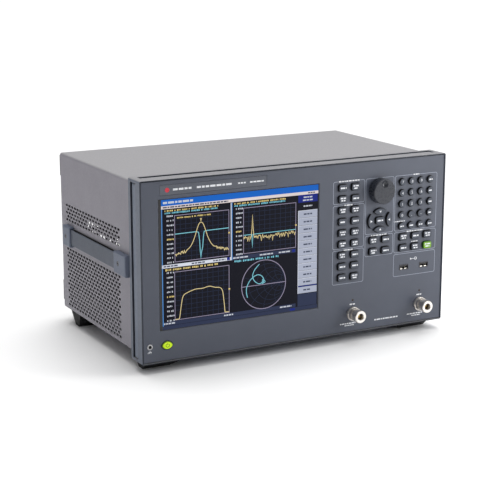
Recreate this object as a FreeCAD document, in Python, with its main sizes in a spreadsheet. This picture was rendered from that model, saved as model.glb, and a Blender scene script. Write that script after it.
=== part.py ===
import FreeCAD, Part

import math
import os
import re

import Sketcher
from FreeCAD import Rotation, Vector

# Bench vector network analyzer, five rack units high, in millimetres.
# Row frame: X to the operator's right, Y from the front panel to the rear, Z up.
# The origin is the middle of the footprint, on the plane that the feet stand on.

SIZES = {
    # cabinet
    "unit_width": 432,
    "frame_height": 222,
    "frame_depth": 32.5,
    "body_depth": 262,
    "foot_height": 12.5,
    "frame_corner": 2.5,
    "frame_wall": 5,
    "frame_flange": 4,
    "spigot_depth": 9,
    "spigot_wall": 5.4,
    "seat_width": 429.6,
    "seat_height": 219.6,
    "seat_gap": 1,
    "rim_edge": 0.5,
    # trim channels in the sides and the top of the frame
    "trim_front": 12.5,
    "trim_channel_width": 14,
    "trim_channel_depth": 2.6,
    "trim_channel_margin": 4,
    "top_channel_margin": 9,
    "trim_strip_width": 9.6,
    "trim_strip_thickness": 1.8,
    "trim_end_gap": 2,
    # wrap-round cover
    "cover_inset": 3,
    "cover_top_drop": 4,
    "cover_bottom_rise": 9,
    "cover_wall": 1.2,
    "cover_gap": 1.5,
    "cover_corner": 3,
    "slip": 0.4,
    # perforated fields in the cover's sides, measured from the front and the frame's bottom
    "vent_pitch": 9.5,
    "vent_slot_length": 6.8,
    "vent_slot_height": 3.2,
    "vent_first": 71.5,
    "vent_columns": 19,
    "lower_vent_first_row": 17,
    "lower_vent_rows": 17,
    "upper_vent_first_row": 132.5,
    "upper_vent_rows": 5,
    # front panel
    "panel_recess": 1,
    "panel_thickness": 3,
    "panel_gap": 0.4,
    "name_plate_x": -118.8,
    "name_plate_z": 208.7,
    "name_plate_width": 142.5,
    "name_plate_height": 12.5,
    "name_plate_depth": 0.6,
    # display
    "display_x": -82.9,
    "display_z": 118.5,
    "window_width": 218,
    "window_height": 159,
    "window_edge": 0.8,
    "glass_gap": 0.3,
    "glass_thickness": 2,
    "display_module_width": 232,
    "display_module_height": 172,
    "display_module_depth": 10,
    # keys
    "top_row": 190,
    "row_pitch": 14.4,
    "column_pitch": 18.7,
    "left_column": 59.9,
    "marker_column": 106.3,
    "state_column": 152.2,
    "entry_column": 149,
    "key_width": 12.8,
    "key_height": 9.3,
    "key_corner": 2.6,
    "key_edge": 0.9,
    "key_rise": 3,
    "key_clearance": 0.35,
    "round_key_width": 9.4,
    "flange_margin": 1,
    "flange_gap": 0.2,
    "flange_thickness": 1.5,
    # cursor keys, lens shaped, round the enter key
    "cursor_x": 115.5,
    "cursor_z": 143.3,
    "cursor_reach_x": 13.8,
    "cursor_reach_z": 11.7,
    "lens_length": 19,
    "lens_width": 8.5,
    # rotary knob and its encoder
    "knob_z": 181.7,
    "knob_radius": 16.5,
    "knob_face_radius": 16,
    "knob_bevel": 0.9,
    "knob_rise": 12,
    "knob_gap": 0.6,
    "knob_bore_depth": 6,
    "knob_skirt_wall": 1.8,
    "dimple_radius": 5.6,
    "dimple_depth": 3,
    "dimple_offset": 9.7,
    "spindle_radius": 3,
    "spindle_length": 16,
    "spindle_slip": 0.05,
    "encoder_width": 14,
    "encoder_depth": 8,
    "bushing_radius": 4.5,
    # keypad board
    "board_standoff": 6.2,
    "board_thickness": 1.6,
    "keypad_left": 45,
    "keypad_width": 162,
    "keypad_bottom": 96,
    "keypad_height": 106,
    "keypad_leg_bottom": 62,
    "keypad_leg_width": 47,
    # test ports
    "port_x": 78,
    "port_spacing": 102.8,
    "port_z": 25.2,
    "port_rise": 20,
    "port_thread_radius": 7.94,
    "port_thread_start": 9,
    "port_chamfer": 0.6,
    "port_mouth_bevel": 0.7,
    "port_relief_radius": 7.2,
    "port_collar_radius": 8.4,
    "port_collar_rise": 8,
    "port_flange_radius": 8.9,
    "port_flange_rise": 3,
    "port_body_radius": 8,
    "port_body_length": 16,
    "port_coax_radius": 5,
    "port_coax_bore": 3.5,
    "port_coax_length": 46,
    "port_bore_radius": 4.1,
    "bead_front": 8,
    "bead_length": 3,
    "contact_radius": 1.52,
    "contact_recess": 5,
    "contact_bore": 0.8,
    "contact_bore_depth": 5,
    "lamp_radius": 1.6,
    "lamp_height": 17.7,
    # other front panel fittings
    "usb_x": 155.3,
    "usb_spacing": 31.1,
    "usb_z": 77.2,
    "usb_width": 14,
    "usb_height": 6.8,
    "usb_wall": 0.75,
    "usb_rise": 0.4,
    "usb_depth": 14,
    "power_x": -183.1,
    "power_z": 21,
    "power_key_length": 13.7,
    "power_key_width": 9.4,
    "power_key_rise": 1.6,
    "ground_x": -205.5,
    "ground_z": 21.4,
    "ground_bore": 2.05,
    "ground_radius": 3,
    "ground_rim_radius": 3.6,
    "ground_rim_rise": 0.6,
    "ground_length": 16,
    "ground_bore_depth": 14,
    # strap handle on the left side, measured from the front and the frame's bottom
    "handle_z": 112.7,
    "cap_height": 26.5,
    "cap_rise": 7,
    "cap_edge": 1.6,
    "front_cap_start": 38,
    "front_cap_length": 35,
    "rear_cap_start": 219,
    "rear_cap_length": 24,
    "cap_end_wall": 2.5,
    "cap_cavity_gap": 0.4,
    "cap_cavity_height": 22,
    "strap_height": 20.5,
    "strap_inner": 2.6,
    "strap_thickness": 2,
    "strap_edge": 0.8,
    "strap_start": 41.5,
    "strap_length": 198,
    "strap_slot_width": 5,
    "front_strap_slot": 17,
    "front_screw_y": 59.5,
    "rear_screw_y": 232.6,
    # screws, all the same size
    "screw_head_radius": 3,
    "screw_head_height": 1.4,
    "screw_radius": 2,
    "screw_length": 8,
    "screw_drive": 1.25,
    "screw_drive_depth": 0.8,
    "screw_hole_radius": 2.2,
    "screw_sink_radius": 3.3,
    "cap_sink_depth": 1.5,
    # rear stand-off feet
    "rear_foot_x": 189,
    "rear_foot_width": 39,
    "rear_foot_low_z": 29.5,
    "rear_foot_high_z": 199,
    "rear_foot_height": 27,
    "rear_foot_length": 21,
    "rear_foot_slope": 6,
    "rear_foot_sink": 16,
    # feet under the cabinet
    "foot_x": 187,
    "foot_pad_width": 36,
    "foot_pad_length": 12,
    "foot_outer_flare": 1,
    "foot_inner_flare": 20,
    "front_foot_y": 31,
    "front_foot_top_length": 32,
    "front_foot_top_shift": -4,
    "foot_block_width": 24,
    "foot_block_start": 34,
    "foot_block_length": 30,
    "foot_ear_start": 49,
    "foot_ear_bottom": 5,
    "rear_foot_y": 237,
    "rear_foot_top_length": 36,
    "rear_foot_top_shift": 4,
    # folding wire stands behind the front feet
    "stand_x": 170,
    "stand_y": 58,
    "stand_z": 9,
    "stand_wire_radius": 2,
    "stand_slip": 0.05,
    "stand_hole_depth": 7,
    "stand_stub_start": 6.5,
    "stand_half_width": 14.6,
    "stand_length": 52,
    "stand_bend": 2.6,
    # rear panel and what it carries, seen in the row frame
    "rear_panel_recess": 1,
    "rear_panel_thickness": 1.5,
    "fan_x": -150,
    "fan_z": 117,
    "fan_size": 80,
    "fan_depth": 25,
    "fan_duct_radius": 38,
    "fan_hub_radius": 15,
    "fan_hub_length": 17,
    "fan_motor_radius": 16,
    "fan_motor_thickness": 3,
    "fan_strut_width": 4,
    "fan_shaft_radius": 1.5,
    "fan_shaft_slip": 0.05,
    "fan_shaft_length": 6,
    "fan_blades": 7,
    "fan_blade_reach": 36,
    "fan_blade_chord": 15,
    "fan_blade_thickness": 1.4,
    "fan_blade_pitch": 38,
    "bnc_x": -50,
    "bnc_spacing": 24,
    "bnc_count": 4,
    "bnc_z": 190,
    "bnc_hole_radius": 5.2,
    "bnc_radius": 4.8,
    "bnc_collar_radius": 7,
    "bnc_collar_length": 2,
    "bnc_rise": 12,
    "bnc_bore": 4.1,
    "bnc_bore_depth": 10,
    "bnc_pin_radius": 1.1,
    "bnc_inside": 10,
    "inlet_x": 150,
    "inlet_z": 60,
    "inlet_plate_width": 48,
    "inlet_plate_height": 22.6,
    "inlet_plate_thickness": 2.5,
    "inlet_body_width": 27,
    "inlet_body_height": 19.8,
    "inlet_body_depth": 26,
    "inlet_cavity_width": 24.4,
    "inlet_cavity_height": 16.6,
    "inlet_cavity_depth": 17,
    "data_x": -46,
    "data_z": 52,
    "data_spacing": 44,
    "data_count": 3,
    "data_width": 30,
    "data_height": 13.6,
    "data_wall": 1,
    "data_depth": 16,
    "data_rise": 1.5,
    # inside the cabinet
    "tray_thickness": 2,
    "tray_half_width": 209,
    "tray_front": 47,
    "tray_rear": 257,
    "tray_rail_height": 30,
    "rf_left": 45,
    "rf_width": 160,
    "rf_front": 47,
    "rf_depth": 92,
    "rf_height": 42,
    "rf_lid_inset": 4,
    "rf_lid_height": 4,
    "supply_left": 84,
    "supply_width": 116,
    "supply_front": 146,
    "supply_depth": 82,
    "supply_height": 76,
    "main_left": -200,
    "main_width": 230,
    "main_front": 56,
    "main_depth": 170,
    "main_standoff": 8,
    "standoff_radius": 3,
    "standoff_inset": 8,
    "sink_width": 60,
    "sink_height": 24,
}

FRONT = "-body_depth / 2"
PANEL_FACE = "-body_depth / 2 + panel_recess"
REAR_FACE = "body_depth / 2 - rear_panel_recess"
TRAY_TOP = "foot_height + cover_bottom_rise + cover_wall + tray_thickness"

# Each row of keys: node name, alias of its first column, number of keys, row counted from the top.
FUNCTION_ROWS = (
    ("active_keys_row_1", "left_column", 2, 0),
    ("active_keys_row_2", "left_column", 2, 1),
    ("response_keys_row_1", "left_column", 2, 2),
    ("response_keys_row_2", "left_column", 2, 3),
    ("response_keys_row_3", "left_column", 2, 4),
    ("response_keys_row_4", "left_column", 2, 5),
    ("stimulus_keys_row_1", "left_column", 2, 6),
    ("stimulus_keys_row_2", "left_column", 2, 7),
    ("stimulus_keys_row_3", "left_column", 2, 8),
    ("marker_keys_row_1", "marker_column", 2, 5),
    ("marker_keys_row_2", "marker_column", 2, 6),
    ("state_keys_row_1", "state_column", 3, 5),
    ("state_keys_row_2", "state_column", 2, 6),
    ("preset_key", "state_column + 2 * column_pitch", 1, 6),
)
ENTRY_ROW_COUNT = 5
ENTRY_COLUMN_COUNT = 4

# Cursor keys: node name, direction from the enter key, and whether the lens stands upright.
CURSOR_KEYS = (
    ("up_key", 0, 1, False),
    ("down_key", 0, -1, False),
    ("left_key", -1, 0, True),
    ("right_key", 1, 0, True),
)

DOCUMENT = FreeCAD.newDocument("network_analyzer")
SHEET = DOCUMENT.addObject("Spreadsheet::Sheet", "Sizes")
NODES = []


# ---------------------------------------------------------------- sheet and expressions

def fill_sheet():
    """Writes every driving dimension into its own cell, under its alias."""
    for row, (alias, number) in enumerate(SIZES.items(), start=1):
        SHEET.set(f"A{row}", alias.replace("_", " "))
        SHEET.set(f"B{row}", str(number))
        SHEET.setAlias(f"B{row}", alias)
    DOCUMENT.recompute()


def qualified(text):
    """Turns aliases in an expression into references to the sheet."""
    return re.sub(r"[a-z][a-z_]+", lambda word: f"Sizes.{word.group(0)}", text)


def value(text):
    """The present value of an expression, in millimetres."""
    return float(SHEET.evalExpression(qualified(text)))


def bind(thing, path, text):
    thing.setExpression(path, qualified(text))


def place(thing, x, y, z):
    """Binds an object's position to three expressions."""
    for axis, text in zip("xyz", (x, y, z)):
        bind(thing, f"Placement.Base.{axis}", text)


def node(thing, label):
    """Marks a finished object as a sub-part, written under its label."""
    thing.Label = label
    NODES.append(thing)
    return thing


# ---------------------------------------------------------------- bodies and sketches

def new_body(name, x="0", y="0", z="0"):
    body = DOCUMENT.addObject("PartDesign::Body", name)
    place(body, x, y, z)
    return node(body, name)


def new_sketch(body, name, role, offset="0"):
    """A sketch on one of the body's origin planes, moved along the plane's normal."""
    sketch = body.newObject("Sketcher::SketchObject", name)
    plane = next(item for item in body.Origin.OriginFeatures if item.Role == role)
    sketch.AttachmentSupport = [(plane, "")]
    sketch.MapMode = "FlatFace"
    bind(sketch, "AttachmentOffset.Base.z", offset)
    return sketch


def fix(sketch, kind, elements, text):
    """Adds a dimension that follows an expression."""
    number = value(text)
    index = sketch.addConstraint(Sketcher.Constraint(kind, *elements, number))
    bind(sketch, f"Constraints[{index}]", text)


def fix_point(sketch, element, end, x, y):
    fix(sketch, "DistanceX", (-1, 1, element, end), x)
    fix(sketch, "DistanceY", (-1, 1, element, end), y)


def outline(sketch, points):
    """A closed polygon whose corners are pairs of expressions."""
    corners = [Vector(value(x), value(y), 0) for x, y in points]
    first = sketch.GeometryCount
    count = len(corners)
    for index, corner in enumerate(corners):
        sketch.addGeometry(Part.LineSegment(corner, corners[(index + 1) % count]), False)
    for index in range(count):
        after = first + (index + 1) % count
        sketch.addConstraint(Sketcher.Constraint("Coincident", first + index, 2, after, 1))
    for index, (x, y) in enumerate(points):
        fix_point(sketch, first + index, 1, x, y)


def rectangle(sketch, x, y, width, height):
    """A rectangle about the centre (x, y)."""
    left = f"({x}) - ({width}) / 2"
    right = f"({x}) + ({width}) / 2"
    low = f"({y}) - ({height}) / 2"
    high = f"({y}) + ({height}) / 2"
    outline(sketch, ((left, low), (right, low), (right, high), (left, high)))


def circle(sketch, x, y, radius):
    centre = Vector(value(x), value(y), 0)
    index = sketch.addGeometry(Part.Circle(centre, Vector(0, 0, 1), value(radius)), False)
    fix(sketch, "Radius", (index,), radius)
    fix_point(sketch, index, 3, x, y)


def lens(sketch, x, y, length, width, upright=False):
    """Two equal arcs that meet in points, lying flat or standing upright."""
    radius = f"(({length}) ^ 2 + ({width}) ^ 2) / (4 * ({width}))"
    drop = value(f"{radius} - ({width}) / 2")
    half_angle = math.asin(value(f"({length}) / 2") / value(radius))
    turn = math.pi / 2 if upright else 0
    first = sketch.GeometryCount
    for side in (0, 1):
        middle = math.pi / 2 + turn + side * math.pi
        centre = Vector(value(x) - drop * math.cos(middle), value(y) - drop * math.sin(middle), 0)
        arc = Part.Circle(centre, Vector(0, 0, 1), value(radius))
        sketch.addGeometry(Part.ArcOfCircle(arc, middle - half_angle, middle + half_angle), False)
    sketch.addConstraint(Sketcher.Constraint("Coincident", first, 1, first + 1, 2))
    sketch.addConstraint(Sketcher.Constraint("Coincident", first, 2, first + 1, 1))
    along = ("0", f"({length}) / 2") if upright else (f"({length}) / 2", "0")
    sign = -1 if upright else 1
    fix_point(sketch, first, 1, f"({x}) + {sign} * ({along[0]})", f"({y}) + ({along[1]})")
    fix_point(sketch, first, 2, f"({x}) - {sign} * ({along[0]})", f"({y}) - ({along[1]})")
    fix(sketch, "Radius", (first,), radius)
    fix(sketch, "Radius", (first + 1,), radius)


def bent_path(sketch, corners, bend):
    """An open run of lines along the axes, with a rounded bend at each inner corner."""
    points = [Vector(value(x), value(y), 0) for x, y in corners]
    radius = value(bend)
    ends = []
    for index in range(len(points) - 1):
        step = (points[index + 1] - points[index]).normalize()
        trimmed = []
        for end, sign in ((index, 1), (index + 1, -1)):
            inner = 0 < end < len(points) - 1
            shift = sign if inner else 0
            x = f"({corners[end][0]}) + ({bend}) * {shift * round(step.x)}"
            y = f"({corners[end][1]}) + ({bend}) * {shift * round(step.y)}"
            trimmed.append((x, y))
        ends.append(trimmed)
    for index, (start, end) in enumerate(ends):
        line = Part.LineSegment(
            Vector(value(start[0]), value(start[1]), 0), Vector(value(end[0]), value(end[1]), 0)
        )
        number = sketch.addGeometry(line, False)
        fix_point(sketch, number, 1, *start)
        fix_point(sketch, number, 2, *end)
        if index == 0:
            continue
        before = (points[index - 1] - points[index]).normalize()
        after = (points[index + 1] - points[index]).normalize()
        centre = points[index] + (before + after) * radius
        middle = centre - (before + after).normalize() * radius
        arc = Part.Arc(points[index] + before * radius, middle, points[index] + after * radius)
        sketch.addGeometry(arc, False)


# ---------------------------------------------------------------- features

def checked(body, feature):
    """Recomputes and refuses a feature that failed."""
    body.Tip = feature
    DOCUMENT.recompute()
    if "Invalid" in feature.State or "Error" in feature.State or feature.Shape.isNull():
        raise RuntimeError(f"{body.Label}: {feature.Name} failed: {feature.getStatusString()}")
    return feature


def pad(body, sketch, length, backwards=True):
    """Extrudes a sketch; backwards is against the sketch plane's normal."""
    feature = body.newObject("PartDesign::Pad", f"{sketch.Name}_pad")
    feature.Profile = sketch
    feature.Reversed = backwards
    bind(feature, "Length", length)
    return checked(body, feature)


def pocket(body, sketch, depth, along_normal=False):
    """Cuts a sketch into the body and makes sure that the cut removed material."""
    volume = body.Shape.Volume
    feature = body.newObject("PartDesign::Pocket", f"{sketch.Name}_pocket")
    feature.Profile = sketch
    feature.Reversed = along_normal
    bind(feature, "Length", depth)
    checked(body, feature)
    if feature.Shape.Volume >= volume:
        raise RuntimeError(f"{body.Label}: {feature.Name} cut nothing")
    return feature


def matching_edges(shape, test):
    return [f"Edge{index}" for index, edge in enumerate(shape.Edges, start=1) if test(edge)]


def runs_along(edge, axis):
    """True for a straight edge parallel to the axis, 0 to 2 for X to Z."""
    if len(edge.Vertexes) != 2 or not isinstance(edge.Curve, Part.Line):
        return False
    step = edge.Vertexes[1].Point - edge.Vertexes[0].Point
    return abs(abs(step[axis]) - step.Length) < 1e-6


def lies_at(edge, axis, position):
    """True for an edge that lies in the plane at this position along the axis."""
    box = edge.BoundBox
    low = (box.XMin, box.YMin, box.ZMin)[axis]
    high = (box.XMax, box.YMax, box.ZMax)[axis]
    return abs(low - position) < 1e-3 and abs(high - position) < 1e-3


def round_edges(body, radius, test):
    base = body.Tip
    feature = body.newObject("PartDesign::Fillet", f"{body.Name}_rounding")
    feature.Base = (base, matching_edges(base.Shape, test))
    bind(feature, "Radius", radius)
    return checked(body, feature)


def bevel_edges(body, size, test):
    base = body.Tip
    feature = body.newObject("PartDesign::Chamfer", f"{body.Name}_bevel")
    feature.Base = (base, matching_edges(base.Shape, test))
    bind(feature, "Size", size)
    return checked(body, feature)


def repeat_along_x(body, feature, spacing, count):
    """Repeats a feature in a row along X."""
    pattern = body.newObject("PartDesign::LinearPattern", f"{body.Name}_row")
    pattern.Originals = [feature]
    direction = next(item for item in body.Origin.OriginFeatures if item.Role == "X_Axis")
    pattern.Direction = (direction, [""])
    bind(pattern, "Length", f"({spacing}) * ({count} - 1)")
    pattern.Occurrences = round(value(count))
    return checked(body, pattern)


def turned_about_y(body, points):
    """Revolves an outline of (radius, distance along Y) pairs about the body's Y axis."""
    sketch = new_sketch(body, f"{body.Name}_profile", "XY_Plane")
    outline(sketch, points)
    feature = body.newObject("PartDesign::Revolution", f"{body.Name}_turn")
    feature.Profile = sketch
    feature.ReferenceAxis = (sketch, ["V_Axis"])
    feature.Angle = 360
    return checked(body, feature)


def block(name, x, y, z, width, depth, height):
    """A plain box, given by its lowest corner."""
    box = DOCUMENT.addObject("Part::Box", name)
    for field, text in (("Length", width), ("Width", depth), ("Height", height)):
        bind(box, field, text)
    place(box, x, y, z)
    return box


def rod(name, x, y, z, radius, length, axis=Vector(0, 0, 1)):
    """A plain cylinder from a point along an axis."""
    cylinder = DOCUMENT.addObject("Part::Cylinder", name)
    bind(cylinder, "Radius", radius)
    bind(cylinder, "Height", length)
    cylinder.Placement = FreeCAD.Placement(Vector(), Rotation(Vector(0, 0, 1), axis))
    place(cylinder, x, y, z)
    return cylinder


def joined(name, shapes):
    fusion = DOCUMENT.addObject("Part::MultiFuse", name)
    fusion.Shapes = shapes
    return fusion


def less(name, base, tool):
    cut = DOCUMENT.addObject("Part::Cut", name)
    cut.Base = base
    cut.Tool = tool
    return cut


# ---------------------------------------------------------------- cabinet

def make_front_frame():
    """Cast front frame: seat for the panel, rear spigot for the cover, trim channels in three sides."""
    body = new_body("front_frame", "0", FRONT, "foot_height")
    middle = "frame_height / 2"
    cover_middle = "(cover_bottom_rise + frame_height - cover_top_drop) / 2"
    ring = new_sketch(body, "frame_ring", "XZ_Plane")
    rectangle(ring, "0", middle, "unit_width", "frame_height")
    pad(body, ring, "frame_depth")
    round_edges(body, "frame_corner", lambda edge: runs_along(edge, 1))

    spigot_width = "unit_width - 2 * (cover_inset + cover_wall + slip)"
    spigot_height = "frame_height - cover_top_drop - cover_bottom_rise - 2 * (cover_wall + slip)"
    spigot = new_sketch(body, "frame_spigot", "XZ_Plane", "-frame_depth")
    rectangle(spigot, "0", cover_middle, spigot_width, spigot_height)
    pad(body, spigot, "spigot_depth")

    cavity = new_sketch(body, "frame_cavity", "XZ_Plane")
    rectangle(cavity, "0", middle, "unit_width - 2 * frame_wall", "frame_height - 2 * frame_wall")
    pocket(body, cavity, "frame_depth - frame_flange")

    opening = new_sketch(body, "frame_opening", "XZ_Plane")
    opening_width = f"{spigot_width} - 2 * spigot_wall"
    opening_height = f"{spigot_height} - 2 * spigot_wall"
    rectangle(opening, "0", cover_middle, opening_width, opening_height)
    pocket(body, opening, "frame_depth + spigot_depth")

    seat = new_sketch(body, "panel_seat", "XZ_Plane")
    rectangle(seat, "0", middle, "seat_width", "seat_height")
    pocket(body, seat, "panel_recess + panel_thickness")

    channel_middle = "trim_front + trim_channel_width / 2"
    channel_height = "frame_height - 2 * trim_channel_margin"
    for side, name in ((1, "right"), (-1, "left")):
        channel = new_sketch(body, f"{name}_trim_channel", "YZ_Plane", f"{side} * unit_width / 2")
        rectangle(channel, channel_middle, middle, "trim_channel_width", channel_height)
        pocket(body, channel, "trim_channel_depth", along_normal=side < 0)
    top_channel = new_sketch(body, "top_trim_channel", "XY_Plane", "frame_height")
    rectangle(top_channel, "0", channel_middle, "unit_width - 2 * top_channel_margin", "trim_channel_width")
    pocket(body, top_channel, "trim_channel_depth")

    half_width = value("unit_width / 2")
    outer_faces = ((0, -half_width), (0, half_width), (2, 0), (2, value("frame_height")))
    round_edges(
        body, "rim_edge",
        lambda edge: lies_at(edge, 1, 0)
        and any(lies_at(edge, axis, position) for axis, position in outer_faces),
    )


def make_trim_strips():
    """Plain strips that lie in the front part of the frame's three channels."""
    front = f"{FRONT} + trim_front"
    height = "frame_height - 2 * trim_channel_margin - 2 * trim_end_gap"
    low = "foot_height + trim_channel_margin + trim_end_gap"
    floor = "unit_width / 2 - trim_channel_depth"
    strips = [
        block(f"{name}_trim", x, front, low, "trim_strip_thickness", "trim_strip_width", height)
        for name, x in (("left", f"-({floor}) - trim_strip_thickness"), ("right", floor))
    ]
    half_length = "unit_width / 2 - top_channel_margin - trim_end_gap"
    strips.append(block(
        "top_trim", f"-({half_length})", front, "foot_height + frame_height - trim_channel_depth",
        f"2 * ({half_length})", "trim_strip_width", "trim_strip_thickness",
    ))
    group = DOCUMENT.addObject("Part::Compound", "trim_strips")
    group.Links = strips
    node(group, "trim_strips")


def vent_punch():
    """A long bar with round ends in section, which cuts one vent slot in both sides of the cover."""
    reach = value("unit_width / 2")
    radius = value("vent_slot_height / 2")
    run = value("(vent_slot_length - vent_slot_height) / 2")
    start, end = Vector(-reach, -run, -radius), Vector(-reach, run, -radius)
    lift = Vector(0, 0, 2 * radius)
    front_end = Part.Arc(start + lift, Vector(-reach, -run - radius, 0), start)
    rear_end = Part.Arc(end, Vector(-reach, run + radius, 0), end + lift)
    edges = [Part.LineSegment(start, end), rear_end, Part.LineSegment(end + lift, start + lift), front_end]
    outline = Part.Wire([edge.toShape() for edge in edges])
    return Part.Face(outline).extrude(Vector(2 * reach, 0, 0))


def cover_punches():
    """Bars that cut the cover: long ones for the staggered vent slots in both sides, short round ones
    for the handle's screws."""
    pitch = SHEET.get("vent_pitch")
    columns = round(SHEET.get("vent_columns"))
    reach = value("unit_width / 2")
    first_y = value(f"{FRONT} + vent_first")
    slot = vent_punch()
    bars = []
    for field in ("lower", "upper"):
        first_z = value(f"foot_height + {field}_vent_first_row")
        for row in range(round(SHEET.get(f"{field}_vent_rows"))):
            odd = row % 2
            for column in range(columns - odd):
                step = Vector(0, first_y + (column + odd / 2) * pitch, first_z + row * pitch / 2)
                bars.append(slot.translated(step))
    screw_z = value("foot_height + handle_z")
    for screw_y in ("front_screw_y", "rear_screw_y"):
        start = Vector(-reach, value(f"{FRONT} + {screw_y}"), screw_z)
        bars.append(Part.makeCylinder(SHEET.get("screw_hole_radius"), reach / 2, start, Vector(1, 0, 0)))
    punches = DOCUMENT.addObject("Part::Feature", "cover_punches")
    punches.Shape = Part.makeCompound(bars)
    return punches


def make_wrap_cover():
    """One-piece sheet sleeve round the cabinet, perforated on both sides."""
    body = DOCUMENT.addObject("PartDesign::Body", "cover_sleeve")
    place(body, "0", f"{FRONT} + frame_depth + cover_gap", "foot_height")
    length = "body_depth - frame_depth - cover_gap"
    width = "unit_width - 2 * cover_inset"
    height = "frame_height - cover_top_drop - cover_bottom_rise"
    middle = "(cover_bottom_rise + frame_height - cover_top_drop) / 2"
    outside = new_sketch(body, "sleeve_outside", "XZ_Plane")
    rectangle(outside, "0", middle, width, height)
    pad(body, outside, length)
    round_edges(body, "cover_corner", lambda edge: runs_along(edge, 1))
    inside = new_sketch(body, "sleeve_inside", "XZ_Plane")
    rectangle(inside, "0", middle, f"{width} - 2 * cover_wall", f"{height} - 2 * cover_wall")
    pocket(body, inside, length)
    cover = less("wrap_cover", body, cover_punches())
    node(cover, "wrap_cover")


def make_bottom_feet():
    """Four feet that widen inwards to their tops; the front two carry ears for the wire stands."""
    body = new_body("bottom_feet", "0", FRONT, "0")
    rows = (
        ("front", "front_foot_y", "front_foot_top_length", "front_foot_top_shift", "foot_height"),
        ("rear", "rear_foot_y", "rear_foot_top_length", "rear_foot_top_shift",
         "foot_height + cover_bottom_rise"),
    )
    for row, y, top_length, shift, height in rows:
        for side in (-1, 1):
            x = f"{side} * foot_x"
            sole = new_sketch(body, f"{row}_foot_sole", "XY_Plane")
            rectangle(sole, x, y, "foot_pad_width", "foot_pad_length")
            top = new_sketch(body, f"{row}_foot_top", "XY_Plane", height)
            top_x = f"{side} * (foot_x + (foot_outer_flare - foot_inner_flare) / 2)"
            top_width = "foot_pad_width + foot_outer_flare + foot_inner_flare"
            rectangle(top, top_x, f"{y} + {shift}", top_width, top_length)
            loft = body.newObject("PartDesign::AdditiveLoft", f"{row}_foot")
            loft.Profile = sole
            loft.Sections = [top]
            loft.Ruled = True
            checked(body, loft)
    for side in (-1, 1):
        x = f"{side} * stand_x"
        riser = new_sketch(body, "foot_riser", "XY_Plane", "foot_height")
        rectangle(riser, x, "foot_block_start + foot_block_length / 2",
                  "foot_block_width", "foot_block_length")
        pad(body, riser, "cover_bottom_rise", backwards=False)
        ear = new_sketch(body, "foot_ear", "XY_Plane", "foot_ear_bottom")
        ear_length = "foot_block_start + foot_block_length - foot_ear_start"
        rectangle(ear, x, f"foot_ear_start + ({ear_length}) / 2", "foot_block_width", ear_length)
        pad(body, ear, "foot_height + cover_bottom_rise - foot_ear_bottom", backwards=False)
        for end in (-1, 1):
            face = f"{side} * stand_x + {end} * foot_block_width / 2"
            hole = new_sketch(body, "stand_hole", "YZ_Plane", face)
            circle(hole, "stand_y", "stand_z", "stand_wire_radius + stand_slip")
            pocket(body, hole, "stand_hole_depth", along_normal=end < 0)


def make_tilt_stand(name, side):
    """A wire bail whose two ends turn in the ears of a front foot; it lies folded to the rear."""
    body = new_body(name, f"{side} * stand_x", f"{FRONT} + stand_y", "stand_z")
    path = new_sketch(body, f"{name}_path", "XY_Plane")
    bent_path(
        path,
        (
            ("-stand_stub_start", "0"),
            ("-stand_half_width", "0"),
            ("-stand_half_width", "stand_length"),
            ("stand_half_width", "stand_length"),
            ("stand_half_width", "0"),
            ("stand_stub_start", "0"),
        ),
        "stand_bend",
    )
    section = new_sketch(body, f"{name}_section", "YZ_Plane", "-stand_stub_start")
    circle(section, "0", "0", "stand_wire_radius")
    pipe = body.newObject("PartDesign::AdditivePipe", f"{name}_wire")
    pipe.Profile = section
    pipe.Spine = path
    checked(body, pipe)


def rear_foot_centres():
    return [
        (f"{side} * rear_foot_x", z)
        for side in (-1, 1)
        for z in ("rear_foot_low_z", "rear_foot_high_z")
    ]


def make_rear_feet():
    """Four stand-off blocks on the rear panel, sloped to the rear, with sunk screw holes."""
    body = new_body("rear_feet", "0", REAR_FACE, "foot_height")
    bases = new_sketch(body, "rear_foot_bases", "XZ_Plane")
    for x, z in rear_foot_centres():
        rectangle(bases, x, z, "rear_foot_width", "rear_foot_height")
    pad(body, bases, "rear_foot_length")
    back = value("rear_foot_length")
    bevel_edges(body, "rear_foot_slope", lambda edge: lies_at(edge, 1, back))
    sinks = new_sketch(body, "rear_foot_sinks", "XZ_Plane", "-rear_foot_length")
    for x, z in rear_foot_centres():
        circle(sinks, x, z, "screw_sink_radius")
    pocket(body, sinks, "rear_foot_sink", along_normal=True)
    holes = new_sketch(body, "rear_foot_holes", "XZ_Plane")
    for x, z in rear_foot_centres():
        circle(holes, x, z, "screw_hole_radius")
    pocket(body, holes, "rear_foot_length")


# ---------------------------------------------------------------- strap handle

HANDLE_ORIGIN = ("-unit_width / 2 + cover_inset", FRONT, "foot_height")


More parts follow.
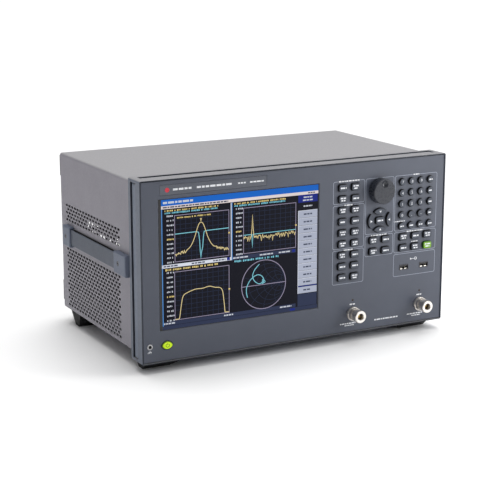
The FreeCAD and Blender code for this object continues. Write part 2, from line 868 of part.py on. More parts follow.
def make_handle_cap(name, start, length, screw_y, opens_rearwards):
    """A moulded cap on the cover's side; the strap's end runs into a slot in it."""
    body = new_body(name, *HANDLE_ORIGIN)
    middle = f"{start} + {length} / 2"
    base = new_sketch(body, f"{name}_base", "YZ_Plane")
    rectangle(base, middle, "handle_z", length, "cap_height")
    pad(body, base, "cap_rise")
    outer = -value("cap_rise")
    round_edges(body, "cap_edge", lambda edge: lies_at(edge, 0, outer))
    mouth = f"{start} + {length}" if opens_rearwards else start
    slot = new_sketch(body, f"{name}_slot", "XZ_Plane", f"-({mouth})")
    slot_width = "strap_thickness + 2 * cap_cavity_gap"
    rectangle(slot, "-strap_inner - strap_thickness / 2", "handle_z", slot_width, "cap_cavity_height")
    pocket(body, slot, f"{length} - cap_end_wall", along_normal=opens_rearwards)
    hole = new_sketch(body, f"{name}_screw_hole", "YZ_Plane", "-cap_rise")
    circle(hole, screw_y, "handle_z", "screw_hole_radius")
    pocket(body, hole, "cap_rise", along_normal=True)
    sink = new_sketch(body, f"{name}_screw_sink", "YZ_Plane", "-cap_rise")
    circle(sink, screw_y, "handle_z", "screw_sink_radius")
    pocket(body, sink, "cap_sink_depth", along_normal=True)


def make_handle_strap():
    """Flat springy strap between the caps, slotted so that it can slide past the screws."""
    body = new_body("handle_strap", *HANDLE_ORIGIN)
    face = new_sketch(body, "strap_face", "YZ_Plane", "-strap_inner")
    rectangle(face, "strap_start + strap_length / 2", "handle_z", "strap_length", "strap_height")
    pad(body, face, "strap_thickness")
    long_edge = value("strap_length") - 1
    round_edges(body, "strap_edge", lambda edge: runs_along(edge, 1) and edge.Length > long_edge)
    slots = new_sketch(body, "strap_slots", "YZ_Plane", "-strap_inner")
    front_middle = "front_screw_y + strap_slot_width / 2 - front_strap_slot / 2"
    rectangle(slots, front_middle, "handle_z", "front_strap_slot", "strap_slot_width")
    rectangle(slots, "rear_screw_y", "handle_z", "strap_slot_width", "strap_slot_width")
    pocket(body, slots, "strap_thickness")


# ---------------------------------------------------------------- front panel and display

def function_key_places():
    """Centres of every rectangular key, the enter key among them."""
    places = [("cursor_x", "cursor_z")]
    for _, first_column, count, row in FUNCTION_ROWS:
        for column in range(count):
            places.append((f"{first_column} + {column} * column_pitch", f"top_row - {row} * row_pitch"))
    return places


def entry_key_places(row):
    z = f"top_row - {row} * row_pitch"
    return [(f"entry_column + {column} * row_pitch", z) for column in range(ENTRY_COLUMN_COUNT)]


def cursor_key_place(across, up):
    return f"cursor_x + {across} * cursor_reach_x", f"cursor_z + {up} * cursor_reach_z"


def make_front_panel():
    """Flat panel with an opening for every control, the display and the connectors."""
    body = new_body("front_panel", "0", PANEL_FACE, "foot_height")
    sheet = new_sketch(body, "panel_sheet", "XZ_Plane")
    rectangle(sheet, "0", "frame_height / 2", "seat_width - 2 * seat_gap", "seat_height - 2 * seat_gap")
    pad(body, sheet, "panel_thickness")

    keys = new_sketch(body, "key_openings", "XZ_Plane")
    for x, z in function_key_places():
        rectangle(keys, x, z, "key_width + 2 * key_clearance", "key_height + 2 * key_clearance")
    pocket(body, keys, "panel_thickness")
    edge_limit = value("seat_width / 2 - seat_gap") - 1
    round_edges(
        body, "key_corner",
        lambda edge: runs_along(edge, 1) and abs(edge.BoundBox.XMin) < edge_limit,
    )

    lenses = new_sketch(body, "lens_openings", "XZ_Plane")
    for _, across, up, upright in CURSOR_KEYS:
        x, z = cursor_key_place(across, up)
        lens(lenses, x, z, "lens_length + 2 * key_clearance", "lens_width + 2 * key_clearance", upright)
    lens(lenses, "power_x", "power_z", "power_key_length + 2 * key_clearance",
         "power_key_width + 2 * key_clearance")
    pocket(body, lenses, "panel_thickness")

    rounds = new_sketch(body, "round_openings", "XZ_Plane")
    for row in range(ENTRY_ROW_COUNT):
        for x, z in entry_key_places(row):
            circle(rounds, x, z, "round_key_width / 2 + key_clearance")
    circle(rounds, "cursor_x", "knob_z", "spindle_radius + key_clearance")
    circle(rounds, "ground_x", "ground_z", "ground_radius + panel_gap / 2")
    for x in ("port_x", "port_x + port_spacing"):
        circle(rounds, x, "port_z", "port_body_radius + panel_gap / 2")
        circle(rounds, x, "port_z + lamp_height", "lamp_radius")
    pocket(body, rounds, "panel_thickness")

    squares = new_sketch(body, "square_openings", "XZ_Plane")
    rectangle(squares, "display_x", "display_z", "window_width", "window_height")
    for x in ("usb_x", "usb_x + usb_spacing"):
        rectangle(squares, x, "usb_z", "usb_width + panel_gap", "usb_height + panel_gap")
    pocket(body, squares, "panel_thickness")

    name_plate = new_sketch(body, "name_plate_seat", "XZ_Plane")
    rectangle(name_plate, "name_plate_x", "name_plate_z", "name_plate_width", "name_plate_height")
    pocket(body, name_plate, "name_plate_depth")

    window_width = value("window_width")
    window_height = value("window_height")
    bevel_edges(
        body, "window_edge",
        lambda edge: lies_at(edge, 1, 0)
        and (abs(edge.BoundBox.XLength - window_width) < 1e-3
             or abs(edge.BoundBox.ZLength - window_height) < 1e-3),
    )


def make_display():
    """Cover glass in the panel's window and the display module behind it."""
    glass_width = "window_width - 2 * glass_gap"
    glass_height = "window_height - 2 * glass_gap"
    glass = block(
        "display_glass",
        f"display_x - ({glass_width}) / 2",
        f"{PANEL_FACE} + panel_thickness - glass_thickness",
        f"foot_height + display_z - ({glass_height}) / 2",
        glass_width, "glass_thickness", glass_height,
    )
    node(glass, "display_glass")
    module = block(
        "display_module",
        "display_x - display_module_width / 2",
        f"{PANEL_FACE} + panel_thickness",
        "foot_height + display_z - display_module_height / 2",
        "display_module_width", "display_module_depth", "display_module_height",
    )
    node(module, "display_module")


# ---------------------------------------------------------------- keys and knob

def key_body(name, rise, draw):
    """A key: a cap through the panel and a flange behind it. draw(sketch, margin) draws its shapes."""
    body = new_body(name, "0", PANEL_FACE, "foot_height")
    cap = new_sketch(body, f"{name}_cap", "XZ_Plane", rise)
    draw(cap, "0")
    pad(body, cap, f"{rise} + panel_thickness + flange_gap + flange_thickness")
    return body


def key_flange(body, draw):
    flange = new_sketch(body, f"{body.Name}_flange", "XZ_Plane", "-panel_thickness - flange_gap")
    draw(flange, "flange_margin")
    pad(body, flange, "flange_thickness")


def round_key_face(body, rise):
    face = -value(rise)
    round_edges(body, "key_edge", lambda edge: lies_at(edge, 1, face))


def make_function_keys(name, places):
    """Rectangular keys with rounded corners, at the given centres."""
    def draw(sketch, margin):
        for x, z in places:
            rectangle(sketch, x, z, f"key_width + 2 * {margin}", f"key_height + 2 * {margin}")

    body = key_body(name, "key_rise", draw)
    round_edges(body, "key_corner", lambda edge: runs_along(edge, 1))
    round_key_face(body, "key_rise")
    key_flange(body, draw)


def make_round_keys(name, places):
    """Round data-entry keys, at the given centres."""
    def draw(sketch, margin):
        for x, z in places:
            circle(sketch, x, z, f"round_key_width / 2 + {margin}")

    body = key_body(name, "key_rise", draw)
    round_key_face(body, "key_rise")
    key_flange(body, draw)


def make_lens_key(name, x, z, length, width, rise, upright=False):
    """A pointed oval key."""
    def draw(sketch, margin):
        lens(sketch, x, z, f"{length} + 2 * {margin}", f"{width} + 2 * {margin}", upright)

    body = key_body(name, rise, draw)
    face = -value(rise)
    bevel_edges(body, "key_edge / 2", lambda edge: lies_at(edge, 1, face))
    key_flange(body, draw)


def make_keys():
    for name, first_column, count, row in FUNCTION_ROWS:
        z = f"top_row - {row} * row_pitch"
        make_function_keys(name, [(f"{first_column} + {column} * column_pitch", z) for column in range(count)])
    make_function_keys("enter_key", [("cursor_x", "cursor_z")])
    for row in range(ENTRY_ROW_COUNT):
        make_round_keys(f"entry_keys_row_{row + 1}", entry_key_places(row))
    for name, across, up, upright in CURSOR_KEYS:
        x, z = cursor_key_place(across, up)
        make_lens_key(name, x, z, "lens_length", "lens_width", "key_rise", upright)
    make_lens_key("power_key", "power_x", "power_z", "power_key_length", "power_key_width", "power_key_rise")


def make_rotary_knob():
    """Turned knob with a hollow skirt, a finger dimple and its spindle."""
    body = new_body("rotary_knob", "cursor_x", PANEL_FACE, "foot_height + knob_z")
    skirt_radius = "knob_radius - knob_skirt_wall"
    turned_about_y(
        body,
        (
            ("0", "-knob_rise"),
            ("knob_face_radius - knob_bevel", "-knob_rise"),
            ("knob_face_radius", "-knob_rise + knob_bevel"),
            ("knob_radius", "-knob_gap"),
            (skirt_radius, "-knob_gap"),
            (skirt_radius, "-knob_bore_depth"),
            ("spindle_radius", "-knob_bore_depth"),
            ("spindle_radius", "spindle_length"),
            ("0", "spindle_length"),
        ),
    )
    volume = body.Shape.Volume
    dimple = body.newObject("PartDesign::SubtractiveSphere", "finger_dimple")
    bind(dimple, "Radius", "dimple_radius")
    bind(dimple, "AttachmentOffset.Base.y", "-knob_rise - dimple_radius + dimple_depth")
    bind(dimple, "AttachmentOffset.Base.z", "dimple_offset")
    plane = next(item for item in body.Origin.OriginFeatures if item.Role == "XY_Plane")
    dimple.AttachmentSupport = [(plane, "")]
    dimple.MapMode = "ObjectXY"
    checked(body, dimple)
    if dimple.Shape.Volume >= volume:
        raise RuntimeError("rotary_knob: the dimple cut nothing")


def make_encoder():
    """Rotary encoder behind the keypad board, with the bushing that carries the knob's spindle."""
    board_back = f"{PANEL_FACE} + board_standoff + board_thickness"
    centre_z = "foot_height + knob_z"
    case = block(
        "encoder_case", "cursor_x - encoder_width / 2", board_back, f"{centre_z} - encoder_width / 2",
        "encoder_width", "encoder_depth", "encoder_width",
    )
    bushing_start = f"{PANEL_FACE} + panel_thickness + flange_gap"
    bushing = rod(
        "encoder_bushing", "cursor_x", bushing_start, centre_z, "bushing_radius",
        "board_standoff + board_thickness - panel_thickness - flange_gap", Vector(0, 1, 0),
    )
    bore = rod(
        "encoder_bore", "cursor_x", bushing_start, centre_z, "spindle_radius + spindle_slip",
        "spindle_length + 0.5 - panel_thickness - flange_gap", Vector(0, 1, 0),
    )
    node(less("encoder", joined("encoder_blank", [case, bushing]), bore), "encoder")


def make_keypad_board():
    """L-shaped circuit board behind the keys, with a hole for the encoder's bushing."""
    body = new_body("keypad_board", "0", f"{PANEL_FACE} + board_standoff", "foot_height")
    right = "keypad_left + keypad_width"
    leg_right = "keypad_left + keypad_leg_width"
    top = "keypad_bottom + keypad_height"
    shape = new_sketch(body, "keypad_shape", "XZ_Plane")
    outline(
        shape,
        (
            ("keypad_left", "keypad_leg_bottom"),
            (leg_right, "keypad_leg_bottom"),
            (leg_right, "keypad_bottom"),
            (right, "keypad_bottom"),
            (right, top),
            ("keypad_left", top),
        ),
    )
    pad(body, shape, "board_thickness")
    hole = new_sketch(body, "bushing_hole", "XZ_Plane")
    circle(hole, "cursor_x", "knob_z", "bushing_radius + slip")
    pocket(body, hole, "board_thickness")


# ---------------------------------------------------------------- connectors on the front

def make_test_ports():
    """Two coaxial test ports: threaded bodies, insulating beads and centre contacts."""
    bead_rear = "-port_rise + bead_front + bead_length"
    pieces = {
        "test_port_bodies": (
            ("port_bore_radius", "-port_rise + port_mouth_bevel"),
            ("port_bore_radius + port_mouth_bevel", "-port_rise"),
            ("port_thread_radius - port_chamfer", "-port_rise"),
            ("port_thread_radius", "-port_rise + port_chamfer"),
            ("port_thread_radius", "-port_thread_start"),
            ("port_relief_radius", "-port_thread_start"),
            ("port_relief_radius", "-port_collar_rise"),
            ("port_collar_radius", "-port_collar_rise"),
            ("port_collar_radius", "-port_flange_rise"),
            ("port_flange_radius", "-port_flange_rise"),
            ("port_flange_radius", "0"),
            ("port_body_radius", "0"),
            ("port_body_radius", "port_body_length"),
            ("port_coax_radius", "port_body_length"),
            ("port_coax_radius", "port_coax_length"),
            ("port_coax_bore", "port_coax_length"),
            ("port_coax_bore", bead_rear),
            ("port_bore_radius", bead_rear),
        ),
        "port_insulators": (
            ("contact_radius", "-port_rise + bead_front"),
            ("port_bore_radius", "-port_rise + bead_front"),
            ("port_bore_radius", bead_rear),
            ("contact_radius", bead_rear),
        ),
        "port_contacts": (
            ("contact_bore", "-port_rise + contact_recess"),
            ("contact_radius", "-port_rise + contact_recess"),
            ("contact_radius", "port_coax_length"),
            ("0", "port_coax_length"),
            ("0", "-port_rise + contact_recess + contact_bore_depth"),
            ("contact_bore", "-port_rise + contact_recess + contact_bore_depth"),
        ),
    }
    for name, points in pieces.items():
        body = new_body(name, "port_x", PANEL_FACE, "foot_height + port_z")
        feature = turned_about_y(body, points)
        repeat_along_x(body, feature, "port_spacing", "2")


def make_usb_sockets():
    """Two sheet-metal socket shells, open to the front."""
    body = new_body("usb_sockets", "usb_x", PANEL_FACE, "foot_height + usb_z")
    shell = new_sketch(body, "usb_shell", "XZ_Plane", "usb_rise")
    mouth = new_sketch(body, "usb_mouth", "XZ_Plane", "usb_rise")
    for x in ("0", "usb_spacing"):
        rectangle(shell, x, "0", "usb_width", "usb_height")
        rectangle(mouth, x, "0", "usb_width - 2 * usb_wall", "usb_height - 2 * usb_wall")
    pad(body, shell, "usb_rise + usb_depth")
    pocket(body, mouth, "usb_rise + usb_depth - usb_wall")


def make_ground_socket():
    """Metal socket for a 4 mm plug, at the lower left of the panel."""
    body = new_body("ground_socket", "ground_x", PANEL_FACE, "foot_height + ground_z")
    turned_about_y(
        body,
        (
            ("ground_bore", "-ground_rim_rise"),
            ("ground_rim_radius - ground_rim_rise / 2", "-ground_rim_rise"),
            ("ground_rim_radius", "-ground_rim_rise / 2"),
            ("ground_rim_radius", "0"),
            ("ground_radius", "0"),
            ("ground_radius", "ground_length"),
            ("0", "ground_length"),
            ("0", "ground_bore_depth"),
            ("ground_bore", "ground_bore_depth"),
        ),
    )


# ---------------------------------------------------------------- rear panel

def bnc_places():
    count = round(value("bnc_count"))
    return [(f"bnc_x + {index} * bnc_spacing", "bnc_z") for index in range(count)]


def data_places():
    count = round(value("data_count"))
    return [(f"data_x + {index} * data_spacing", "data_z") for index in range(count)]


def make_rear_panel():
    """Sheet panel inside the sleeve's rear end, cut out for the fan and the connectors."""
    body = new_body("rear_panel", "0", f"{REAR_FACE} - rear_panel_thickness", "foot_height")
    width = "unit_width - 2 * (cover_inset + cover_wall + slip)"
    height = "frame_height - cover_top_drop - cover_bottom_rise - 2 * (cover_wall + slip)"
    middle = "(cover_bottom_rise + frame_height - cover_top_drop) / 2"
    sheet = new_sketch(body, "rear_sheet", "XZ_Plane")
    rectangle(sheet, "0", middle, width, height)
    pad(body, sheet, "rear_panel_thickness")
    holes = new_sketch(body, "rear_holes", "XZ_Plane")
    circle(holes, "fan_x", "fan_z", "fan_duct_radius")
    for x, z in bnc_places():
        circle(holes, x, z, "bnc_hole_radius")
    for x, z in data_places():
        rectangle(holes, x, z, "data_width + panel_gap", "data_height + panel_gap")
    rectangle(holes, "inlet_x", "inlet_z", "inlet_body_width + panel_gap", "inlet_body_height + panel_gap")
    for x, z in rear_foot_centres():
        circle(holes, x, z, "screw_hole_radius")
    pocket(body, holes, "rear_panel_thickness")


def make_rear_bnc_connectors():
    """Reference and trigger connectors in a row."""
    body = new_body("rear_bnc_connectors", "bnc_x", REAR_FACE, "foot_height + bnc_z")
    floor = "bnc_rise - bnc_bore_depth"
    feature = turned_about_y(
        body,
        (
            ("bnc_bore", "bnc_rise"),
            ("bnc_radius", "bnc_rise"),
            ("bnc_radius", "bnc_collar_length"),
            ("bnc_collar_radius", "bnc_collar_length"),
            ("bnc_collar_radius", "0"),
            ("bnc_radius", "0"),
            ("bnc_radius", "-bnc_inside"),
            ("0", "-bnc_inside"),
            ("0", "bnc_rise - bnc_pin_radius"),
            ("bnc_pin_radius", "bnc_rise - bnc_pin_radius"),
            ("bnc_pin_radius", floor),
            ("bnc_bore", floor),
        ),
    )
    repeat_along_x(body, feature, "bnc_spacing", "bnc_count")


def make_interface_connectors():
    """Three rectangular data sockets, open to the rear."""
    body = new_body("interface_connectors", "0", REAR_FACE, "foot_height")
    shells = new_sketch(body, "data_shells", "XZ_Plane", "-data_rise")
    mouths = new_sketch(body, "data_mouths", "XZ_Plane", "-data_rise")
    for x, z in data_places():
        rectangle(shells, x, z, "data_width", "data_height")
        rectangle(mouths, x, z, "data_width - 2 * data_wall", "data_height - 2 * data_wall")
    pad(body, shells, "data_rise + data_depth", backwards=False)
    pocket(body, mouths, "data_rise + data_depth - data_wall", along_normal=True)


def make_power_inlet():
    """Mains inlet: a plate on the rear panel and a hollow body through it."""
    body = new_body("power_inlet", "inlet_x", REAR_FACE, "foot_height + inlet_z")
    plate = new_sketch(body, "inlet_plate", "XZ_Plane")
    rectangle(plate, "0", "0", "inlet_plate_width", "inlet_plate_height")
    pad(body, plate, "inlet_plate_thickness")
    well = new_sketch(body, "inlet_well", "XZ_Plane")
    rectangle(well, "0", "0", "inlet_body_width", "inlet_body_height")
    pad(body, well, "inlet_body_depth", backwards=False)
    cavity = new_sketch(body, "inlet_cavity", "XZ_Plane", "-inlet_plate_thickness")
    rectangle(cavity, "0", "0", "inlet_cavity_width", "inlet_cavity_height")
    pocket(body, cavity, "inlet_cavity_depth", along_normal=True)


FAN_REAR = f"{REAR_FACE} - rear_panel_thickness"


def make_fan_frame():
    """Square fan housing with a round duct, motor plate, four struts and a shaft bearing."""
    z = "foot_height + fan_z"
    front = f"{FAN_REAR} - fan_depth"
    case = block("fan_case", "fan_x - fan_size / 2", front, f"{z} - fan_size / 2",
                 "fan_size", "fan_depth", "fan_size")
    duct = rod("fan_duct", "fan_x", front, z, "fan_duct_radius", "fan_depth", Vector(0, 1, 0))
    motor = rod("fan_motor", "fan_x", front, z, "fan_motor_radius", "fan_motor_thickness", Vector(0, 1, 0))
    reach = "fan_duct_radius + 1"
    upright = block("fan_upright_struts", "fan_x - fan_strut_width / 2", front, f"{z} - ({reach})",
                    "fan_strut_width", "fan_motor_thickness", f"2 * ({reach})")
    level = block("fan_level_struts", f"fan_x - ({reach})", front, f"{z} - fan_strut_width / 2",
                  f"2 * ({reach})", "fan_motor_thickness", "fan_strut_width")
    bearing = rod("fan_bearing", "fan_x", front, z, "fan_shaft_radius + fan_shaft_slip",
                  "fan_motor_thickness", Vector(0, 1, 0))
    housing = joined("fan_housing", [less("fan_shell", case, duct), motor, upright, level])
    node(less("fan_frame", housing, bearing), "fan_frame")


def make_fan_rotor():
    """Hub, shaft and pitched blades."""
    z = "foot_height + fan_z"
    hub_start = f"{FAN_REAR} - fan_depth + fan_motor_thickness + 1"
    hub = rod("fan_hub", "fan_x", hub_start, z, "fan_hub_radius", "fan_hub_length", Vector(0, 1, 0))
    shaft = rod("fan_shaft", "fan_x", f"{hub_start} + 1 - fan_shaft_length + 1", z, "fan_shaft_radius",
                "fan_shaft_length", Vector(0, 1, 0))
    blades = []
    count = round(value("fan_blades"))
    root = "fan_hub_radius - 1.5"
    for index in range(count):
        blade = DOCUMENT.addObject("Part::Box", "fan_blade")
        bind(blade, "Length", f"fan_blade_reach - ({root})")
        bind(blade, "Width", "fan_blade_chord")
        bind(blade, "Height", "fan_blade_thickness")
        spin = Rotation(Vector(0, 1, 0), index * 360 / count)
        pitch = Rotation(Vector(1, 0, 0), value("fan_blade_pitch"))
        corner = Vector(value(root), -value("fan_blade_chord") / 2, -value("fan_blade_thickness") / 2)
        turn = spin.multiply(pitch)
        hub_middle = Vector(value("fan_x"), value(f"{hub_start} + fan_hub_length / 2"), value(z))
        start = hub_middle + spin.multVec(Vector(corner.x, 0, 0))
        start += turn.multVec(Vector(0, corner.y, corner.z))
        blade.Placement = FreeCAD.Placement(start, turn)
        blades.append(blade)
    node(joined("fan_rotor", [hub, shaft] + blades), "fan_rotor")


# ---------------------------------------------------------------- inside the cabinet

def make_chassis():
    """Bottom tray with low side rails that carries the boards and modules."""
    body = new_body("chassis", "0", f"{FRONT} + tray_front", "foot_height + cover_bottom_rise + cover_wall")
    profile = new_sketch(body, "tray_profile", "XZ_Plane")
    inner = "tray_half_width - tray_thickness"
    outline(
        profile,
        (
            ("-tray_half_width", "0"),
            ("tray_half_width", "0"),
            ("tray_half_width", "tray_rail_height"),
            (inner, "tray_rail_height"),
            (inner, "tray_thickness"),
            (f"-({inner})", "tray_thickness"),
            (f"-({inner})", "tray_rail_height"),
            ("-tray_half_width", "tray_rail_height"),
        ),
    )
    pad(body, profile, "tray_rear - tray_front")


def make_main_board():
    """Processor board on four standoffs, with a heat sink block."""
    top = f"{TRAY_TOP} + main_standoff"
    y = f"{FRONT} + main_front"
    board = block("main_board_sheet", "main_left", y, top, "main_width", "main_depth", "board_thickness")
    sink = block(
        "main_board_sink", "main_left + main_width / 2", f"{y} + main_depth / 2",
        f"{top} + board_thickness", "sink_width", "sink_width", "sink_height",
    )
    posts = []
    for x in ("main_left + standoff_inset", "main_left + main_width - standoff_inset"):
        for post_y in (f"{y} + standoff_inset", f"{y} + main_depth - standoff_inset"):
            posts.append(rod("main_board_post", x, post_y, TRAY_TOP, "standoff_radius", "main_standoff"))
    node(joined("main_board", [board, sink] + posts), "main_board")


def make_rf_module():
    """Milled receiver housing with a raised lid, behind the test ports."""
    y = f"{FRONT} + rf_front"
    case = block("rf_case", "rf_left", y, TRAY_TOP, "rf_width", "rf_depth", "rf_height")
    lid = block(
        "rf_lid", "rf_left + rf_lid_inset", f"{y} + rf_lid_inset", f"{TRAY_TOP} + rf_height",
        "rf_width - 2 * rf_lid_inset", "rf_depth - 2 * rf_lid_inset", "rf_lid_height",
    )
    node(joined("rf_module", [case, lid]), "rf_module")


def make_power_supply():
    """Sheet-metal power supply in front of the mains inlet."""
    supply = block(
        "power_supply", "supply_left", f"{FRONT} + supply_front", TRAY_TOP,
        "supply_width", "supply_depth", "supply_height",
    )
    node(supply, "power_supply")


def make_case_screws():
    """Six equal pan-head screws: two in the handle caps, four in the rear feet."""
    body = DOCUMENT.addObject("PartDesign::Body", "screw")
    turned_about_y(
        body,
        (
            ("0", "0"),
            ("screw_head_radius", "0"),
            ("screw_head_radius", "screw_head_height"),
            ("screw_radius", "screw_head_height"),
            ("screw_radius", "screw_head_height + screw_length"),
            ("0", "screw_head_height + screw_length"),
        ),
    )
    slot = new_sketch(body, "screw_slot", "XZ_Plane")
    rectangle(slot, "0", "0", "3 * screw_drive", "screw_drive")
    pocket(body, slot, "screw_drive_depth")

    places = []
    head_x = value("-unit_width / 2 + cover_inset - cap_rise + cap_sink_depth - screw_head_height")
    for screw_y in ("front_screw_y", "rear_screw_y"):
        seat = Vector(head_x, value(f"{FRONT} + {screw_y}"), value("foot_height + handle_z"))
        places.append(FreeCAD.Placement(seat, Rotation(Vector(0, 1, 0), Vector(1, 0, 0))))
    seat_y = value(f"{REAR_FACE} + rear_foot_length - rear_foot_sink + screw_head_height")
    for x, z in rear_foot_centres():
        seat = Vector(value(x), seat_y, value(f"foot_height + {z}"))
        places.append(FreeCAD.Placement(seat, Rotation(Vector(0, 1, 0), Vector(0, -1, 0))))
    copies = []
    for placement in places:
        copy = body.Shape.copy()
        copy.Placement = placement
        copies.append(copy)
    screws = DOCUMENT.addObject("Part::Feature", "case_screws")
    screws.Shape = Part.makeCompound(copies)
    node(screws, "case_screws")


# ---------------------------------------------------------------- build, check and write

def build():
    fill_sheet()
    make_front_frame()
    make_trim_strips()
    make_wrap_cover()
    make_bottom_feet()
    make_tilt_stand("tilt_stand_left", -1)
    make_tilt_stand("tilt_stand_right", 1)
    make_rear_feet()
    make_handle_cap("handle_cap_front", "front_cap_start", "front_cap_length", "front_screw_y",
                    opens_rearwards=True)
    make_handle_cap("handle_cap_rear", "rear_cap_start", "rear_cap_length", "rear_screw_y",
                    opens_rearwards=False)
    make_handle_strap()
    make_front_panel()
    make_display()
    make_keys()
    make_rotary_knob()
    make_encoder()
    make_keypad_board()
    make_test_ports()
    make_usb_sockets()
    make_ground_socket()
    make_rear_panel()
    make_rear_bnc_connectors()
    make_interface_connectors()
    make_power_inlet()
    make_fan_frame()
    make_fan_rotor()
    make_chassis()
    make_main_board()
    make_rf_module()
    make_power_supply()
    make_case_screws()
    DOCUMENT.recompute()


def check():
    """Refuses to go on if any object failed or any sub-part is empty or invalid."""
    for thing in DOCUMENT.Objects:
        if "Invalid" in thing.State or "Error" in thing.State:
            raise RuntimeError(f"{thing.Label}: {thing.State} {thing.getStatusString()}")
    for thing in NODES:
        if thing.Shape.isNull() or not thing.Shape.isValid() or not thing.Shape.Solids:
            raise RuntimeError(f"{thing.Label}: bad shape")


def write():
    os.makedirs("parts", exist_ok=True)
    for thing in NODES:
        thing.Shape.exportStep(f"parts/{thing.Label}.step")
        box = thing.Shape.BoundBox
        print(f"{thing.Label:24s} solids {len(thing.Shape.Solids):2d}  volume {thing.Shape.Volume:11.1f}  "
              f"x {box.XMin:7.1f} {box.XMax:7.1f}  y {box.YMin:7.1f} {box.YMax:7.1f}  "
              f"z {box.ZMin:6.1f} {box.ZMax:6.1f}")
    print(f"{len(NODES)} nodes")


build()
check()
write()
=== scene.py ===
import math
import random

import bmesh
import bpy
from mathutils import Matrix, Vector


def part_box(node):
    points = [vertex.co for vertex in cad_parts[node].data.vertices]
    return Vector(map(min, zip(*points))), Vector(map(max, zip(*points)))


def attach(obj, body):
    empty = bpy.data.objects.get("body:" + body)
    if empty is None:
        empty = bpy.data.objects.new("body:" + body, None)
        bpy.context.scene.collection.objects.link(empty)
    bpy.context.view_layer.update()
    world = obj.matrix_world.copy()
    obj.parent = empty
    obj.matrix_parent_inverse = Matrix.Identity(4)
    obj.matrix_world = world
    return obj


# Visual model of a bench network analyzer, in metres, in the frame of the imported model.
# The front panel faces -Y. Places come from the boxes of the CAD nodes. Places on the display's
# picture are in dots of that display, across and down from the picture's top left corner.

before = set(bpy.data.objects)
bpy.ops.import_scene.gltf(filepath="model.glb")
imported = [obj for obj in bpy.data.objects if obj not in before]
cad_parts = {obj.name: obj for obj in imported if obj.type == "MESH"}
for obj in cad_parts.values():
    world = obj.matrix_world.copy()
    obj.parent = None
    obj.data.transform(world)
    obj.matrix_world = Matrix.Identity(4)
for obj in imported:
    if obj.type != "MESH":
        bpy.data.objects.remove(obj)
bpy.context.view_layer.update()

MM = 0.001
LAYER = 0.05 * MM


# ---------------------------------------------------------------- places taken from the frame

class Place:
    """The box of a CAD node, with its middle and size."""

    def __init__(self, *nodes):
        boxes = [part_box(node) for node in nodes]
        self.low = Vector([min(box[0][axis] for box in boxes) for axis in range(3)])
        self.high = Vector([max(box[1][axis] for box in boxes) for axis in range(3)])
        self.middle = (self.low + self.high) / 2
        self.size = self.high - self.low


FRAME = Place("front_frame")
PANEL = Place("front_panel")
GLASS = Place("display_glass")
COVER = Place("wrap_cover")
REAR = Place("rear_panel")
FAN = Place("fan_frame")
PORTS = Place("test_port_bodies")
INLET = Place("power_inlet")
DATA = Place("interface_connectors")
USB = Place("usb_sockets")
GROUND = Place("ground_socket")
STRAP = Place("handle_strap")
BNC = Place("rear_bnc_connectors")

PORT_FLANGE_RADIUS = 8.9 * MM
PORT_MIDDLES = (PORTS.low.x + PORT_FLANGE_RADIUS, PORTS.high.x - PORT_FLANGE_RADIUS)
KEY_FLANGE = 1 * MM
KEY_CLEARANCE = 0.35 * MM
# Keys in each row of a group, from the top row down.
KEY_GROUPS = {
    "active": (2, 2),
    "response": (2, 2, 2, 2),
    "stimulus": (2, 2, 2),
    "marker": (2, 2),
    "state": (3, 2),
    "entry": (4, 4, 4, 4, 4),
}
KEY_COUNTS = {
    f"{group}_keys_row_{row}": count
    for group, counts in KEY_GROUPS.items()
    for row, count in enumerate(counts, 1)
}
KEY_COUNTS.update(preset_key=1, enter_key=1)
# Where each cursor key lies from the middle of its group: across, up.
CURSOR_KEYS = {"up_key": (0, 1), "down_key": (0, -1), "left_key": (-1, 0), "right_key": (1, 0)}
WIDE_KEY = 14.8 * MM
ROUND_KEY = 11.4 * MM


def key_middles(node):
    """Middles of the keys of a row, as (x, z)."""
    row = Place(node)
    width = ROUND_KEY if node.startswith("entry") else WIDE_KEY
    count = KEY_COUNTS[node]
    first = row.low.x + width / 2
    step = (row.size.x - width) / max(count - 1, 1)
    return [(first + index * step, row.middle.z) for index in range(count)]


# ---------------------------------------------------------------- colours and materials

def srgb(red, green, blue):
    """Linear colour from display values of 0 to 255."""
    def linear(value):
        value = value / 255
        return value / 12.92 if value <= 0.04045 else ((value + 0.055) / 1.055) ** 2.4

    return (linear(red), linear(green), linear(blue), 1.0)


def scaled(colour, factor):
    return tuple(min(channel * factor, 1.0) for channel in colour[:3]) + (1.0,)


class Graph:
    """Adds nodes to a node tree."""

    def __init__(self, tree):
        self.nodes = tree.nodes
        self.links = tree.links

    def feed(self, socket, value):
        """Gives a socket a fixed value, or the output that feeds it."""
        if isinstance(value, bpy.types.NodeSocket):
            self.links.new(value, socket)
        else:
            socket.default_value = value

    def add(self, kind, inputs):
        node = self.nodes.new(kind)
        for name, value in inputs.items():
            self.feed(node.inputs[name], value)
        return node

    def remap(self, source, low, high, low_in=0.3, high_in=0.7):
        limits = {"From Min": low_in, "From Max": high_in, "To Min": low, "To Max": high}
        return self.add("ShaderNodeMapRange", {"Value": source, **limits}).outputs["Result"]

    def part(self, source, axis):
        """A vector's X, Y or Z."""
        return self.add("ShaderNodeSeparateXYZ", {"Vector": source}).outputs[axis]


